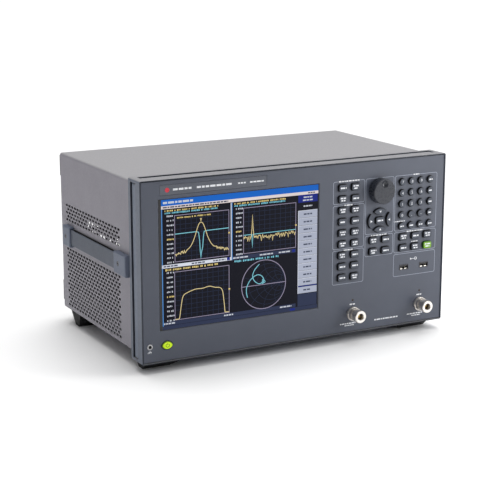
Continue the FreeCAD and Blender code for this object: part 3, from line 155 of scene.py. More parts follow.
class Surface(Graph):
    """Builds one procedural material, node by node."""

    def __init__(self, name):
        self.material = bpy.data.materials.new(name)
        self.material.use_nodes = True
        super().__init__(self.material.node_tree)
        self.shader = self.nodes["Principled BSDF"]
        self.place = self.nodes.new("ShaderNodeTexCoord").outputs["Object"]

    def set(self, **values):
        """Sets inputs of the shader; their names have _ for a space."""
        for name, value in values.items():
            self.feed(self.shader.inputs[name.replace("_", " ")], value)

    def noise(self, scale, detail=4.0):
        """Noise of a scale in waves per metre."""
        inputs = {"Scale": scale, "Detail": detail, "Roughness": 0.55, "Vector": self.place}
        return self.add("ShaderNodeTexNoise", inputs).outputs["Fac"]

    def mix(self, factor, first, second):
        """Mixes two colours, each a fixed colour or an output."""
        node = self.nodes.new("ShaderNodeMix")
        node.data_type = "RGBA"
        for name, value in (("Factor", factor), ("A", first), ("B", second)):
            self.feed(node.inputs[name], value)
        return node.outputs["Result"]

    def uneven(self, source, colour, darker, lighter):
        """A colour that a noise varies between a darker and a lighter share of itself."""
        return self.mix(self.remap(source, 0.0, 1.0), scaled(colour, darker), scaled(colour, lighter))

    def calculate(self, operation, first, second=0.0):
        """The result of a maths node on two outputs or numbers."""
        node = self.nodes.new("ShaderNodeMath")
        node.operation = operation
        self.feed(node.inputs[0], first)
        self.feed(node.inputs[1], second)
        return node.outputs["Value"]

    def bump(self, height, strength, distance, after=None):
        inputs = {"Strength": strength, "Distance": distance, "Height": height}
        if after is not None:
            inputs["Normal"] = after
        return self.add("ShaderNodeBump", inputs).outputs["Normal"]

    def finish(self, colour, roughness, normal=None):
        """Wires the shader up and gives back the material."""
        self.set(Base_Color=colour, Roughness=roughness)
        if normal is not None:
            self.set(Normal=normal)
        return self.material

    def soft_edge(self, radius):
        """Shading normal rounded over sharp edges."""
        node = self.add("ShaderNodeBevel", {"Radius": radius})
        node.samples = 4
        return node.outputs["Normal"]

    def edge_mask(self, rounded):
        """Near 1 along sharp edges, 0 on flat faces."""
        dot = self.nodes.new("ShaderNodeVectorMath")
        dot.operation = "DOT_PRODUCT"
        self.feed(dot.inputs[0], rounded)
        self.feed(dot.inputs[1], self.nodes.new("ShaderNodeNewGeometry").outputs["Normal"])
        return self.remap(dot.outputs["Value"], 1.0, 0.0, 0.80, 0.995)

    def normal_part(self, axis):
        """The surface normal's X, Y or Z."""
        return self.part(self.nodes.new("ShaderNodeNewGeometry").outputs["Normal"], axis)

    def facing_front(self, low=0.6, high=0.9):
        """1 on faces that look to the front, 0 on the sides."""
        return self.remap(self.normal_part("Y"), 1.0, 0.0, -high, -low)

    def facing_up(self):
        """1 on faces that look up, 0 on the sides."""
        return self.remap(self.normal_part("Z"), 0.0, 1.0, 0.4, 0.8)


def painted(name, colour, roughness=0.5, grain=0.15, grain_scale=2200.0, wear=0.35,
            wear_colour=None, edge=0.35, top=None, front=None):
    """Paint, powder coat or moulded plastic: mottled colour, fine grain, lighter worn edges. The faces that
    look up can get a lighter colour, partly two-tone paint and partly painted light, and the faces that look
    to the front a darker one, painted shade."""
    surface = Surface(name)
    base = surface.uneven(surface.noise(38.0), colour, 0.95, 1.05)
    # Lighter faces that look up: painted light, partly a two-tone paint.
    if top:
        base = surface.mix(surface.facing_up(), base, top)
    # Darker faces that look to the front: painted shade.
    if front:
        base = surface.mix(surface.facing_front(), base, front)
    speckle = surface.noise(grain_scale, 2.0)
    base = surface.mix(surface.remap(speckle, 0.0, 0.35), base, scaled(colour, 0.72))
    rounded = surface.soft_edge(edge * MM)
    if wear:
        patches = surface.remap(surface.noise(160.0), 0.0, wear)
        worn = surface.calculate("MULTIPLY", surface.edge_mask(rounded), patches)
        base = surface.mix(worn, base, wear_colour or scaled(colour, 1.9))
    gloss = surface.remap(surface.noise(300.0), roughness - 0.06, roughness + 0.08)
    return surface.finish(base, gloss, surface.bump(speckle, grain, 0.06 * MM, rounded))


def key_plastic(name, face, side, roughness=0.55):
    """Key with a painted front face and darker sides; the dark sides are partly the key's black rubber and
    partly painted shade.
    """
    surface = Surface(name)
    surface.set(Specular_IOR_Level=0.4)
    speckle = surface.noise(3000.0, 2.0)
    front = surface.uneven(surface.noise(120.0), face, 0.93, 1.07)
    base = surface.mix(surface.facing_front(0.85, 0.97), side, front)
    gloss = surface.remap(speckle, roughness - 0.06, roughness + 0.08)
    return surface.finish(base, gloss, surface.bump(speckle, 0.12, 0.04 * MM))


def thread_ridges(surface, start, end, pitch):
    """Height of a screw thread's ridges between two places along Y, from -1 to 1, and 0 outside them."""
    along = surface.part(surface.place, "Y")
    wave = surface.calculate("SINE", surface.calculate("MULTIPLY", along, 2 * math.pi / pitch))
    after_start = surface.remap(along, 0.0, 1.0, start, start + pitch / 3)
    before_end = surface.remap(along, 1.0, 0.0, end - pitch / 3, end)
    return surface.calculate("MULTIPLY", wave, surface.calculate("MULTIPLY", after_start, before_end))


def metal(name, colour, roughness=0.25, thread=None):
    """Bare or plated metal with fine turning marks; thread = (start y, end y, pitch) adds ridges, with
    painted shade darkening their valleys.
    """
    surface = Surface(name)
    surface.set(Metallic=1.0)
    stretch = surface.add("ShaderNodeMapping", {"Vector": surface.place, "Scale": (200.0, 9000.0, 200.0)})
    inputs = {"Vector": stretch.outputs["Vector"], "Scale": 1.0, "Detail": 3.0}
    lines = surface.add("ShaderNodeTexNoise", inputs)
    clouds = surface.noise(220.0)
    base = surface.uneven(clouds, colour, 0.93, 1.04)
    normal = surface.bump(lines.outputs["Fac"], 0.05, 0.01 * MM)
    if thread:
        ridges = thread_ridges(surface, *thread)
        normal = surface.bump(ridges, 0.5, 0.12 * MM, normal)
        # Painted shade: the thread's valleys are darkened.
        shaded_valley = surface.remap(ridges, 0.6, 0.0, -0.9, 0.1)
        base = surface.mix(shaded_valley, base, scaled(colour, 0.45))
    return surface.finish(base, surface.remap(clouds, roughness - 0.03, roughness + 0.05), normal)


def lit(name, colour):
    """A lit part of the display's picture, with a faint dot structure and uneven backlight."""
    surface = Surface(name)
    glow = surface.uneven(surface.noise(14.0), colour, 0.95, 1.05)
    dots = surface.add("ShaderNodeTexWave", {"Scale": 760.0, "Vector": surface.place})
    dots.bands_direction = "X"
    glow = surface.mix(surface.remap(dots.outputs["Fac"], 0.0, 0.18, 0.0, 1.0), glow, scaled(colour, 0.55))
    surface.set(Emission_Color=glow, Emission_Strength=1.0, Specular_IOR_Level=0.1)
    return surface.finish((0.002, 0.002, 0.003, 1.0), 0.35)


def ink(name, colour):
    """Printed ink or paint, slightly uneven."""
    surface = Surface(name)
    patches = surface.noise(900.0, 3.0)
    base = surface.uneven(patches, colour, 0.9, 1.05)
    return surface.finish(base, surface.remap(patches, 0.5, 0.65), surface.bump(patches, 0.1, 0.02 * MM))


def glossy(name, colour, roughness):
    """Dark glass or clear lens with faint smudges."""
    surface = Surface(name)
    smudges = surface.noise(45.0)
    base = surface.uneven(smudges, colour, 0.96, 1.04)
    return surface.finish(base, surface.remap(smudges, roughness, roughness + 0.12))


def circuit_board(name):
    """Green solder mask with tracks."""
    surface = Surface(name)
    cells = surface.add("ShaderNodeTexVoronoi", {"Scale": 260.0, "Vector": surface.place})
    cells.distance = "CHEBYCHEV"
    distance = cells.outputs["Distance"]
    tracks = surface.remap(distance, 0.0, 0.7, 0.25, 0.45)
    base = surface.mix(tracks, srgb(18, 70, 38), srgb(30, 105, 55))
    pads = surface.remap(surface.noise(700.0), 0.0, 1.0, 0.62, 0.66)
    base = surface.mix(pads, base, srgb(185, 180, 160))
    return surface.finish(base, surface.remap(distance, 0.3, 0.5), surface.bump(distance, 0.2, 0.05 * MM))


PANEL_GREY = srgb(74, 79, 92)
FRAME_BLUE = srgb(94, 102, 118)
# Cover grey, set darker than the cover's top so that its sides carry painted shade.
COVER_GREY = srgb(146, 143, 152)
# Lighter grey for faces that look up: painted light on the cover's top, partly two-tone paint and partly
# painted light on the frame and trim.
TOP_TONE_AND_PAINTED_LIGHT = srgb(158, 157, 159)

MATERIALS = {
    "panel": painted("panel_paint", PANEL_GREY, roughness=0.42, grain=0.10, wear=0.0, edge=0.25),
    # The frame's near-black front lip is painted shade; its lighter top is partly two-tone paint and partly
    # painted light.
    "frame": painted("frame_paint", FRAME_BLUE, roughness=0.42, grain=0.12, wear=0.25, edge=0.5,
                     top=TOP_TONE_AND_PAINTED_LIGHT, front=srgb(30, 34, 42)),
    # The trim's faces that look up are lighter, partly its light top strip and partly painted light.
    "trim": painted("trim_plastic", srgb(106, 116, 134), roughness=0.45, wear=0.2, top=TOP_TONE_AND_PAINTED_LIGHT),
    "cap": painted("cap_plastic", srgb(104, 112, 130), roughness=0.5, wear=0.25, edge=0.6),
    "strap": painted("strap_rubber", srgb(90, 96, 108), roughness=0.62, grain=0.25, wear=0.15, edge=0.5),
    # The cover's top is lighter as painted light, and its faces that look to the front are darker as painted
    # shade.
    "cover": painted("cover_paint", COVER_GREY, roughness=0.55, grain=0.22, grain_scale=1500.0, wear=0.2,
                     top=TOP_TONE_AND_PAINTED_LIGHT, front=srgb(64, 62, 66)),
    "rear": painted("rear_paint", srgb(150, 148, 150), roughness=0.5, wear=0.2),
    "black": painted("black_plastic", srgb(26, 27, 29), roughness=0.5, grain=0.3, wear=0.3,
                     wear_colour=srgb(70, 72, 76)),
    "rubber": painted("foot_rubber", srgb(20, 20, 22), roughness=0.68, grain=0.4, wear=0.2,
                      wear_colour=srgb(50, 50, 52)),
    "knob": painted("knob_plastic", srgb(44, 47, 55), roughness=0.28, grain=0.05, wear=0.12, edge=0.5,
                    wear_colour=srgb(84, 90, 102)),
    # The key sides are darker than the faces: partly their own darker plastic, partly painted shade.
    "key": key_plastic("key_rubber", srgb(66, 71, 82), srgb(6, 7, 9)),
    "preset": key_plastic("preset_rubber", srgb(112, 160, 32), srgb(46, 100, 16)),
    "power_key": key_plastic("power_key_plastic", srgb(214, 252, 20), srgb(120, 150, 10), 0.4),
    "steel": metal("turned_steel", (0.90, 0.86, 0.81, 1.0), 0.32,
                   thread=(PORTS.low.y + 0.6 * MM, PORTS.low.y + 11 * MM, 1.06 * MM)),
    "wire": metal("blackened_wire", (0.06, 0.06, 0.065, 1.0), 0.4),
    "guard_wire": metal("spring_wire", (0.45, 0.45, 0.46, 1.0), 0.35),
    "nickel": metal("nickel_plate", (0.68, 0.66, 0.62, 1.0), 0.22),
    "brass": metal("gold_plate", (0.83, 0.60, 0.25, 1.0), 0.22),
    "dark_steel": metal("black_screw", (0.10, 0.10, 0.11, 1.0), 0.4),
    # Dark so that the inside seen through the vents looks dark: partly the parts' own tone, partly painted
    # shade.
    "housing": metal("shade_dark_housing", (0.16, 0.16, 0.17, 1.0), 0.6),
    "insulator": painted("brown_insulator", srgb(74, 52, 36), roughness=0.5, wear=0.0),
    "white_ink": ink("white_ink", srgb(226, 228, 232)),
    "board": circuit_board("circuit_board"),
    "glass": glossy("display_glass_dark", (0.004, 0.004, 0.005, 1.0), 0.12),
}

# The keys that aren't listed share the material "key".
NODES_OF_MATERIALS = {
    "frame": ("front_frame",),
    "trim": ("trim_strips",),
    "cover": ("wrap_cover",),
    "rubber": ("bottom_feet",),
    "cap": ("handle_cap_front", "handle_cap_rear"),
    "strap": ("handle_strap",),
    "panel": ("front_panel",),
    "glass": ("display_glass",),
    "board": ("keypad_board", "main_board"),
    "steel": ("test_port_bodies",),
    "insulator": ("port_insulators",),
    "brass": ("port_contacts",),
    "guard_wire": ("ground_socket",),
    "rear": ("rear_panel",),
    "nickel": ("rear_bnc_connectors", "interface_connectors"),
    "black": ("rear_feet", "display_module", "encoder", "power_inlet", "fan_frame", "fan_rotor"),
    "housing": ("chassis", "rf_module", "power_supply"),
    "dark_steel": ("usb_sockets", "case_screws"),
    "knob": ("rotary_knob",),
    "preset": ("preset_key",),
    "power_key": ("power_key",),
    "wire": ("tilt_stand_left", "tilt_stand_right"),
}
NODE_MATERIALS = {node: name for name, nodes in NODES_OF_MATERIALS.items() for node in nodes}


def dress_nodes():
    """Gives every CAD node its material."""
    for name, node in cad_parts.items():
        finish = MATERIALS[NODE_MATERIALS.get(name, "key")]
        node.data.materials.clear()
        node.data.materials.append(finish)


# ---------------------------------------------------------------- shapes raised on a plane

class Relief:
    """Closed slabs that stand on a plane facing the front (or the rear), gathered into one piece."""

    def __init__(self, plane, rear=False):
        self.mesh = bmesh.new()
        self.plane = plane
        self.outward = 1 if rear else -1

    def point(self, x, z, height):
        return self.mesh.verts.new((x, self.plane + self.outward * height, z))

    def slab(self, outline, height):
        """A prism on an outline of (x, z) points that turns anticlockwise as seen from the front."""
        ordered = list(outline) if self.outward < 0 else list(reversed(outline))
        top = [self.point(x, z, height) for x, z in ordered]
        foot = [self.point(x, z, 0) for x, z in ordered]
        self.mesh.faces.new(top)
        self.mesh.faces.new(list(reversed(foot)))
        count = len(ordered)
        for index in range(count):
            after = (index + 1) % count
            self.mesh.faces.new((foot[index], foot[after], top[after], top[index]))

    def bar(self, left, low, right, high, height):
        self.slab(((left, low), (right, low), (right, high), (left, high)), height)

    def disc(self, x, z, radius, height, sides=24):
        self.slab([(x + radius * math.cos(math.tau * step / sides),
                    z + radius * math.sin(math.tau * step / sides)) for step in range(sides)], height)

    def line(self, points, width, height, closed=False):
        """A line of constant width through the points."""
        points = [Vector(point) for point in points]
        count = len(points)
        sides = []
        for index, here in enumerate(points):
            before = points[index - 1] if closed or index else None
            after = points[(index + 1) % count] if closed or index < count - 1 else None
            steps = []
            if before is not None:
                steps.append((here - before).normalized())
            if after is not None:
                steps.append((after - here).normalized())
            along = sum(steps, Vector((0, 0)))
            along = along.normalized() if along.length > 1e-6 else steps[0]
            normal = Vector((-along.y, along.x))
            reach = width / 2 / max(normal.dot(Vector((-steps[0].y, steps[0].x))), 0.5)
            sides.append((here + normal * reach, here - normal * reach))
        spans = count if closed else count - 1
        for index in range(spans):
            (left, right), (next_left, next_right) = sides[index], sides[(index + 1) % count]
            self.slab((tuple(right), tuple(next_right), tuple(next_left), tuple(left)), height)

    def words(self, left, middle, width, size, height, seed):
        """A row of short bars in the place of words: marks without meaning."""
        chance = random.Random(seed)
        end = left + width
        while left < end - size * 0.4:
            length = min(size * chance.uniform(1.1, 3.4), end - left)
            self.bar(left, middle - size / 2, left + length, middle + size / 2, height)
            left += length + size * 0.55

    def centred_words(self, x, middle, width, size, height, seed):
        self.words(x - width / 2, middle, width, size, height, seed)

    def finish(self, name, material, body="cabinet"):
        finish_piece(self.mesh, name, material, body)


def add_object(name, data):
    thing = bpy.data.objects.new(name, data)
    bpy.context.scene.collection.objects.link(thing)
    return thing


def finish_piece(mesh, name, material, body):
    """Turns the gathered mesh into a piece that rides on a body."""
    data = bpy.data.meshes.new(name)
    mesh.to_mesh(data)
    mesh.free()
    data.materials.append(material)
    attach(add_object(name, data), body)


def arc(x, z, radius, start, end, steps):
    """Points along an arc, angles in degrees."""
    turns = [math.radians(start + (end - start) * step / steps) for step in range(steps + 1)]
    return [(x + radius * math.cos(turn), z + radius * math.sin(turn)) for turn in turns]


def rounded_box(left, low, right, high, radius, steps=5):
    """Outline of a box with round corners, anticlockwise from its lower right corner."""
    outline = arc(right - radius, low + radius, radius, -90, 0, steps)
    outline += arc(right - radius, high - radius, radius, 0, 90, steps)
    outline += arc(left + radius, high - radius, radius, 90, 180, steps)
    outline += arc(left + radius, low + radius, radius, 180, 270, steps)
    return outline


def smooth_curve(points, steps=8):
    """A Catmull-Rom curve through the points."""
    points = [Vector(point) for point in points]
    padded = [points[0] * 2 - points[1]] + points + [points[-1] * 2 - points[-2]]
    out = []
    for index in range(1, len(padded) - 2):
        p0, p1, p2, p3 = padded[index - 1:index + 3]
        for step in range(steps):
            t = step / steps
            out.append(0.5 * (2 * p1 + (p2 - p0) * t + (2 * p0 - 5 * p1 + 4 * p2 - p3) * t ** 2
                              + (3 * p1 - p0 - 3 * p2 + p3) * t ** 3))
    out.append(points[-1])
    return [tuple(point) for point in out]


# ---------------------------------------------------------------- the display's picture

SCREEN_HEIGHT = 768
SCREEN_WIDTH = 1042
PICTURE_MARGIN = 0.5 * MM
DOT = (GLASS.size.z - 2 * PICTURE_MARGIN) / SCREEN_HEIGHT
PICTURE_RIGHT = GLASS.high.x - PICTURE_MARGIN / 2
PICTURE_LEFT = PICTURE_RIGHT - SCREEN_WIDTH * DOT
PICTURE_TOP = GLASS.high.z - PICTURE_MARGIN

TITLE_BOTTOM = 36
MENU_BOTTOM = 54
SOFTKEY_LEFT = 903
SOFTKEY_RIGHT = 1037
SOFTKEY_TOP = 150
SOFTKEY_STEP = 46.7
SOFTKEY_COUNT = 10
LAST_SOFTKEY = (624, 664)
STATUS_TOP = 746
STATUS_BOTTOM = STATUS_TOP - 2
PLOT_AREA_RIGHT = SOFTKEY_LEFT - 14
# The line of messages between the upper and the lower plots.
MESSAGE_TOP = 382
MESSAGE_BOTTOM = 401
GRID_LINES = 10

# Plot frames: left, top, right, bottom.
PLOTS = {
    "resonance": (84, 97, 434, 370),
    "noise": (531, 97, 886, 371),
    "bandpass": (80, 430, 434, 717),
}
SMITH_CENTRE = (668, 575)
SMITH_RADIUS = 150
# Resistances and reactances that the round chart has circles for.
SMITH_VALUES = (0.2, 0.5, 1, 2, 5)


def dot(u, v):
    """Screen dots to (x, z)."""
    return PICTURE_LEFT + u * DOT, PICTURE_TOP - v * DOT


def dots(points):
    return [dot(u, v) for u, v in points]


class Picture(Relief):
    """A relief on the display's glass, in screen dots; level is the layer that it reaches."""

    def __init__(self):
        super().__init__(GLASS.low.y)

    def shine(self, name, colour_name, *colour):
        """Finishes the piece as a lit part of the picture; colour is in display values."""
        self.finish(name, lit(colour_name, srgb(*colour)))

    def area(self, left, top, right, bottom, level):
        x0, z1 = dot(left, top)
        x1, z0 = dot(right, bottom)
        self.bar(x0, z0, x1, z1, level * LAYER)

    def stroke(self, points, width, level, closed=False):
        self.line(dots(points), width * DOT, level * LAYER, closed)

    def text(self, left, middle, width, size, level, seed):
        x, z = dot(left, middle)
        self.words(x, z, width * DOT, size * DOT, level * LAYER, seed)

    def readout(self, left, middle, width, size, level, seed):
        """A line of short upright marks of uneven height, in the place of figures."""
        chance = random.Random(seed)
        u = left
        while u < left + width:
            across = size * chance.uniform(0.3, 0.75)
            upper = middle - size * chance.uniform(0.3, 0.5)
            lower = middle + size * chance.uniform(0.3, 0.5)
            self.area(u, upper, u + across, lower, level)
            u += across + size * chance.choice((0.25, 0.25, 0.3, 0.9))


def softkey_box(index):
    top = SOFTKEY_TOP + index * SOFTKEY_STEP
    return SOFTKEY_LEFT, top, SOFTKEY_RIGHT, top + SOFTKEY_STEP


# Plain fields of the picture: piece, colour's name, colour, then areas as left, top, right, bottom, layer.
SCREEN_FIELDS = (
    ("screen_background", "screen_night", (8, 9, 22), ((0, 0, SCREEN_WIDTH, SCREEN_HEIGHT, 1),)),
    ("screen_title_bar", "screen_blue", (14, 98, 194), ((0, 0, SCREEN_WIDTH, TITLE_BOTTOM, 2),)),
    ("screen_menu_bar", "screen_cream", (226, 214, 212), ((0, TITLE_BOTTOM, SCREEN_WIDTH, MENU_BOTTOM, 2),)),
    ("screen_status_bars", "screen_slate", (44, 52, 78), (
        (0, STATUS_TOP, SCREEN_WIDTH, SCREEN_HEIGHT, 2),
        (0, 722, PLOT_AREA_RIGHT, STATUS_BOTTOM, 2),
        (452, MESSAGE_TOP - 3, PLOT_AREA_RIGHT, MESSAGE_BOTTOM + 1, 2),
        (SOFTKEY_LEFT, 668, SOFTKEY_RIGHT, STATUS_BOTTOM, 2),
    )),
    ("screen_window_edges", "screen_sky", (84, 146, 214), (
        (0.5, MENU_BOTTOM, 5.5, STATUS_TOP, 3),
        (453, MENU_BOTTOM, 457, MESSAGE_BOTTOM, 3),
    )),
    ("screen_softkey_header", "screen_navy", (22, 38, 128), (
        (SOFTKEY_LEFT, MENU_BOTTOM, SOFTKEY_RIGHT, 101, 2),
        (SOFTKEY_LEFT, 617, SOFTKEY_RIGHT, 622, 2),
        (850, 750, 885, 764, 3),
        (420, MESSAGE_TOP, 440, MESSAGE_BOTTOM - 2, 5),
        (862, MESSAGE_TOP, 882, MESSAGE_BOTTOM - 2, 3),
    )),
)


def make_screen_fields():
    for name, colour_name, colour, areas in SCREEN_FIELDS:
        field = Picture()
        for area in areas:
            field.area(*area)
        field.shine(name, colour_name, *colour)


def make_softkeys():
    """The soft keys down the picture's right side, and the pale strips between fields."""
    keys = Picture()
    strips = Picture()
    strips.area(0, MESSAGE_TOP, 446, MESSAGE_BOTTOM, 3)
    strips.stroke(((449, MENU_BOTTOM + 4), (449, MESSAGE_BOTTOM)), 5, 3)
    for index in range(SOFTKEY_COUNT):
        left, top, right, bottom = softkey_box(index)
        keys.area(left, top, right, bottom - 2, 3)
        strips.stroke(((left, top + 1), (right, top + 1)), 2.5, 4)
    last_top, last_bottom = LAST_SOFTKEY
    keys.area(SOFTKEY_LEFT, last_top, SOFTKEY_RIGHT, last_bottom, 3)
    strips.stroke(((SOFTKEY_LEFT + 1, SOFTKEY_TOP), (SOFTKEY_LEFT + 1, last_bottom)), 3, 4)
    keys.shine("screen_softkeys", "screen_key_grey", 172, 178, 196)
    strips.shine("screen_highlights", "screen_white", 216, 220, 232)


def make_plot_grids():
    """Grid lines and frames of the three plots, and the round chart."""
    grid = Picture()
    rims = Picture()
    for left, top, right, bottom in PLOTS.values():
        for step in range(1, GRID_LINES):
            u = left + (right - left) * step / GRID_LINES
            v = top + (bottom - top) * step / GRID_LINES
            grid.stroke(((u, top), (u, bottom)), 3.0, 2)
            grid.stroke(((left, v), (right, v)), 3.0, 2)
        rims.stroke(((left, top), (right, top), (right, bottom), (left, bottom)), 3.5, 3, closed=True)

    for resistance in SMITH_VALUES:
        radius = SMITH_RADIUS / (1 + resistance)
        u = SMITH_CENTRE[0] + SMITH_RADIUS - radius
        grid.stroke(arc(u, SMITH_CENTRE[1], radius, 0, 345, 46), 2.8, 2, closed=True)
    for reactance in SMITH_VALUES:
        radius = SMITH_RADIUS / reactance
        half = math.degrees(2 * math.atan(reactance))
        for side in (-1, 1):
            v = SMITH_CENTRE[1] + side * radius
            start = -90 * side
            curve = arc(SMITH_CENTRE[0] + SMITH_RADIUS, v, radius, start, start - side * half, 24)
            grid.stroke(curve, 2.8, 2)
    rims.stroke(arc(*SMITH_CENTRE, SMITH_RADIUS, 0, 355, 71), 4.5, 3, closed=True)
    left, right = SMITH_CENTRE[0] - SMITH_RADIUS, SMITH_CENTRE[0] + SMITH_RADIUS
    rims.stroke(((left, SMITH_CENTRE[1]), (right, SMITH_CENTRE[1])), 4, 3)
    grid.shine("screen_grids", "screen_grid_blue", 32, 40, 62)
    rims.shine("screen_plot_frames", "screen_frame_pink", 150, 142, 166)


TRACE_STEP = 4
RESONANCE_PEAK = 252
RESONANCE_HALF_WIDTH = 46
RESONANCE_FLOOR = 332
RESONANCE_HEIGHT = 180
NOISE_LEVEL = 276
NOISE_SPIKE = 591
NOISE_SPIKE_HEIGHT = 126


def resonance(u):
    """Height of the resonance curve above its floor, from 0 to 1."""
    return 1 / (1 + (abs(u - RESONANCE_PEAK) / RESONANCE_HALF_WIDTH) ** 2.4) ** 1.1


def make_yellow_traces():
    traces = Picture()
    chance = random.Random(11)
    left, _, right, _ = PLOTS["resonance"]
    points = []
    for u in range(left, right + 1, TRACE_STEP):
        rough = 12 * min(max((abs(u - RESONANCE_PEAK) - 82) / 20, 0), 1)
        curve = RESONANCE_FLOOR - RESONANCE_HEIGHT * resonance(u)
        points.append((u, curve + rough * chance.uniform(-0.8, 0.8)))
    traces.stroke(points, 4, 5)
    marker = ((RESONANCE_PEAK, 146), (RESONANCE_PEAK - 4, 130), (RESONANCE_PEAK + 4, 130))
    traces.stroke(marker, 3, 5, closed=True)

    left, _, right, _ = PLOTS["noise"]
    points = []
    for u in range(left, right + 1, TRACE_STEP):
        drop = 30 * chance.random() ** 5
        level = NOISE_LEVEL + chance.uniform(-10, 8) + drop
        spike = max(1 - abs(u - NOISE_SPIKE) / 11, 0)
        points.append((u, level - NOISE_SPIKE_HEIGHT * spike ** 1.5))
    traces.stroke(points, 3.6, 5)

    left, _, right, _ = PLOTS["bandpass"]
    shape = ((left, 714), (104, 713), (110, 700), (122, 622), (134, 578), (160, 562), (210, 548),
             (258, 548), (303, 541), (340, 552), (372, 558), (390, 580), (400, 650), (406, 712))
    traces.stroke(smooth_curve(shape, 6) + [(right, 713)], 4, 5)
    traces.shine("screen_yellow_traces", "screen_yellow", 228, 208, 150)


def make_cyan_traces():
    traces = Picture()
    left, _, right, _ = PLOTS["resonance"]
    dip = ((left, 206), (224, 205), (236, 211), (243, 262), (246, 322), (250, 366), (254, 330),
           (262, 300), (267, 240), (272, 209), (284, 205), (right, 204))
    traces.stroke(dip, 4.5, 4)
    left, _, right, _ = PLOTS["noise"]
    traces.stroke(((left, 260), (586, 260), (590, 342), (594, 260), (right, 260)), 4, 4)
    loop = ((637, 447), (606, 478), (592, 512), (603, 545), (634, 567), (660, 560), (668, 545),
            (652, 520), (626, 511), (598, 521), (570, 545), (552, 580), (550, 612), (557, 643))
    traces.stroke(smooth_curve(loop), 4.5, 5)
    for u, v in ((664, 548), (671, 558), (660, 563)):
        traces.stroke(arc(u, v, 6, 0, 300, 6), 3.5, 5, closed=True)
    traces.shine("screen_cyan_traces", "screen_cyan", 128, 202, 216)


# Bars in the place of words: left, middle, width, height of the letters, layer.
PALE_WORDS = (
    (8, 733, 70, 8, 4),
    (400, 733, 60, 8, 4),
    (780, 733, 80, 8, 4),
    (460, 391, 100, 8, 4),
    (640, 391, 90, 8, 4),
    (770, 391, 80, 8, 4),
    (940, 70, 60, 8, 4),
    (935, 88, 70, 8, 4),
    (940, 124, 60, 8, 4),
    (12, 18, 190, 12, 4),
)
DARK_WORDS = (
    (SOFTKEY_LEFT + 40, sum(LAST_SOFTKEY) / 2, 50, 9, 5),
    (10, 45, 420, 8, 4),
    (970, 45, 48, 7, 4),
    (10, 391, 90, 8, 5),
    (190, 391, 90, 8, 5),
    (330, 391, 80, 8, 5),
)
MARKED_LINE = 5


def make_screen_text():
    """Bars in the place of the picture's lettering."""
    pale = Picture()
    cyan = Picture()
    yellow = Picture()
    dark = Picture()
    for index, (left, top, right, bottom) in enumerate(PLOTS.values()):
        for step in range(GRID_LINES + 1):
            v = top + (bottom - top) * step / GRID_LINES
            layer = yellow if step == MARKED_LINE else pale
            layer.readout(left - 50, v, 40, 11, 3, 100 * index + step)
            if step == MARKED_LINE:
                yellow.stroke(((right - 4, v), (right + 6, v)), 9, 6)
    for seed, left in enumerate((22, 470)):
        yellow.readout(left, 66, 340, 11, 3, 21 + seed)
        cyan.readout(left, 79, 340, 11, 3, 31 + seed)
    yellow.readout(22, 413, 330, 13, 3, 23)
    cyan.readout(470, 412, 300, 13, 3, 24)
    yellow.readout(100, 112, 210, 10, 3, 25)
    for seed, place in enumerate(PALE_WORDS, 31):
        pale.text(*place, seed)
    for index in range(SOFTKEY_COUNT):
        left, top, _, bottom = softkey_box(index)
        dark.text(left + 38, (top + bottom) / 2, 58, 9, 5, 50 + index)
    for seed, place in enumerate(DARK_WORDS, 61):
        dark.text(*place, seed)
    pale.shine("screen_pale_marks", "screen_pale", 200, 204, 214)
    cyan.shine("screen_cyan_marks", "screen_cyan_ink", 120, 196, 214)
    yellow.shine("screen_yellow_marks", "screen_yellow_ink", 222, 198, 124)
    dark.shine("screen_dark_marks", "screen_dark_ink", 70, 76, 96)


def make_display():
    make_screen_fields()
    make_softkeys()
    make_plot_grids()
    make_cyan_traces()
    make_yellow_traces()
    make_screen_text()


# ---------------------------------------------------------------- printing on the front panel

PRINT = 0.05 * MM
OUTLINE_WIDTH = 0.75 * MM
OUTLINE_CORNER = 2.2 * MM
OUTLINE_GAP = 1.1 * MM
OUTLINE_MARGIN = 6.6 * MM


def group_outlines():
    """Boxes round the key groups: (left, low, right, high), worked out from the keys' places."""
    pitch = Place("active_keys_row_1").middle.z - Place("active_keys_row_2").middle.z
    first_row = Place("active_keys_row_1").middle.z

    def row_line(rows):
        """Height of the line this many rows under the line above the first row."""
        return first_row + pitch / 2 - rows * pitch

    left_keys = Place("active_keys_row_1")
    entry_keys = Place("entry_keys_row_1")
    marker_keys = Place("marker_keys_row_1")
    top = row_line(0) + 0.7 * MM
    left = left_keys.low.x + KEY_FLANGE - OUTLINE_MARGIN
    first = left_keys.high.x - KEY_FLANGE + OUTLINE_MARGIN + OUTLINE_GAP
    second = marker_keys.high.x + OUTLINE_MARGIN - KEY_FLANGE
    right = entry_keys.high.x + OUTLINE_MARGIN - KEY_FLANGE
    gap = OUTLINE_GAP
    return {
        "active": (left, row_line(2) + gap, first, top),
        "response": (left, row_line(6) + gap, first, row_line(2) - gap),
        "stimulus": (left, row_line(9) - 1.6 * MM, first, row_line(6) - gap),
        "cursor": (first + 2 * gap, row_line(5) + gap, second - gap, top),
        "marker": (first + 2 * gap, row_line(7) + gap, second - gap, row_line(5) - gap),
        "entry": (second + gap, row_line(5) + gap, right, top),
        "state": (second + gap, row_line(7) + gap, right, row_line(5) - gap),
        "sockets": (second + gap, row_line(9) - 1.6 * MM, right, row_line(7) - gap),
    }


# Share of an outline's width that its title takes; the cursor and socket groups have none.
TITLE_SHARES = {
    "active": 0.66,
    "response": 0.30,
    "stimulus": 0.30,
    "marker": 0.58,
    "entry": 0.14,
    "state": 0.40,
}


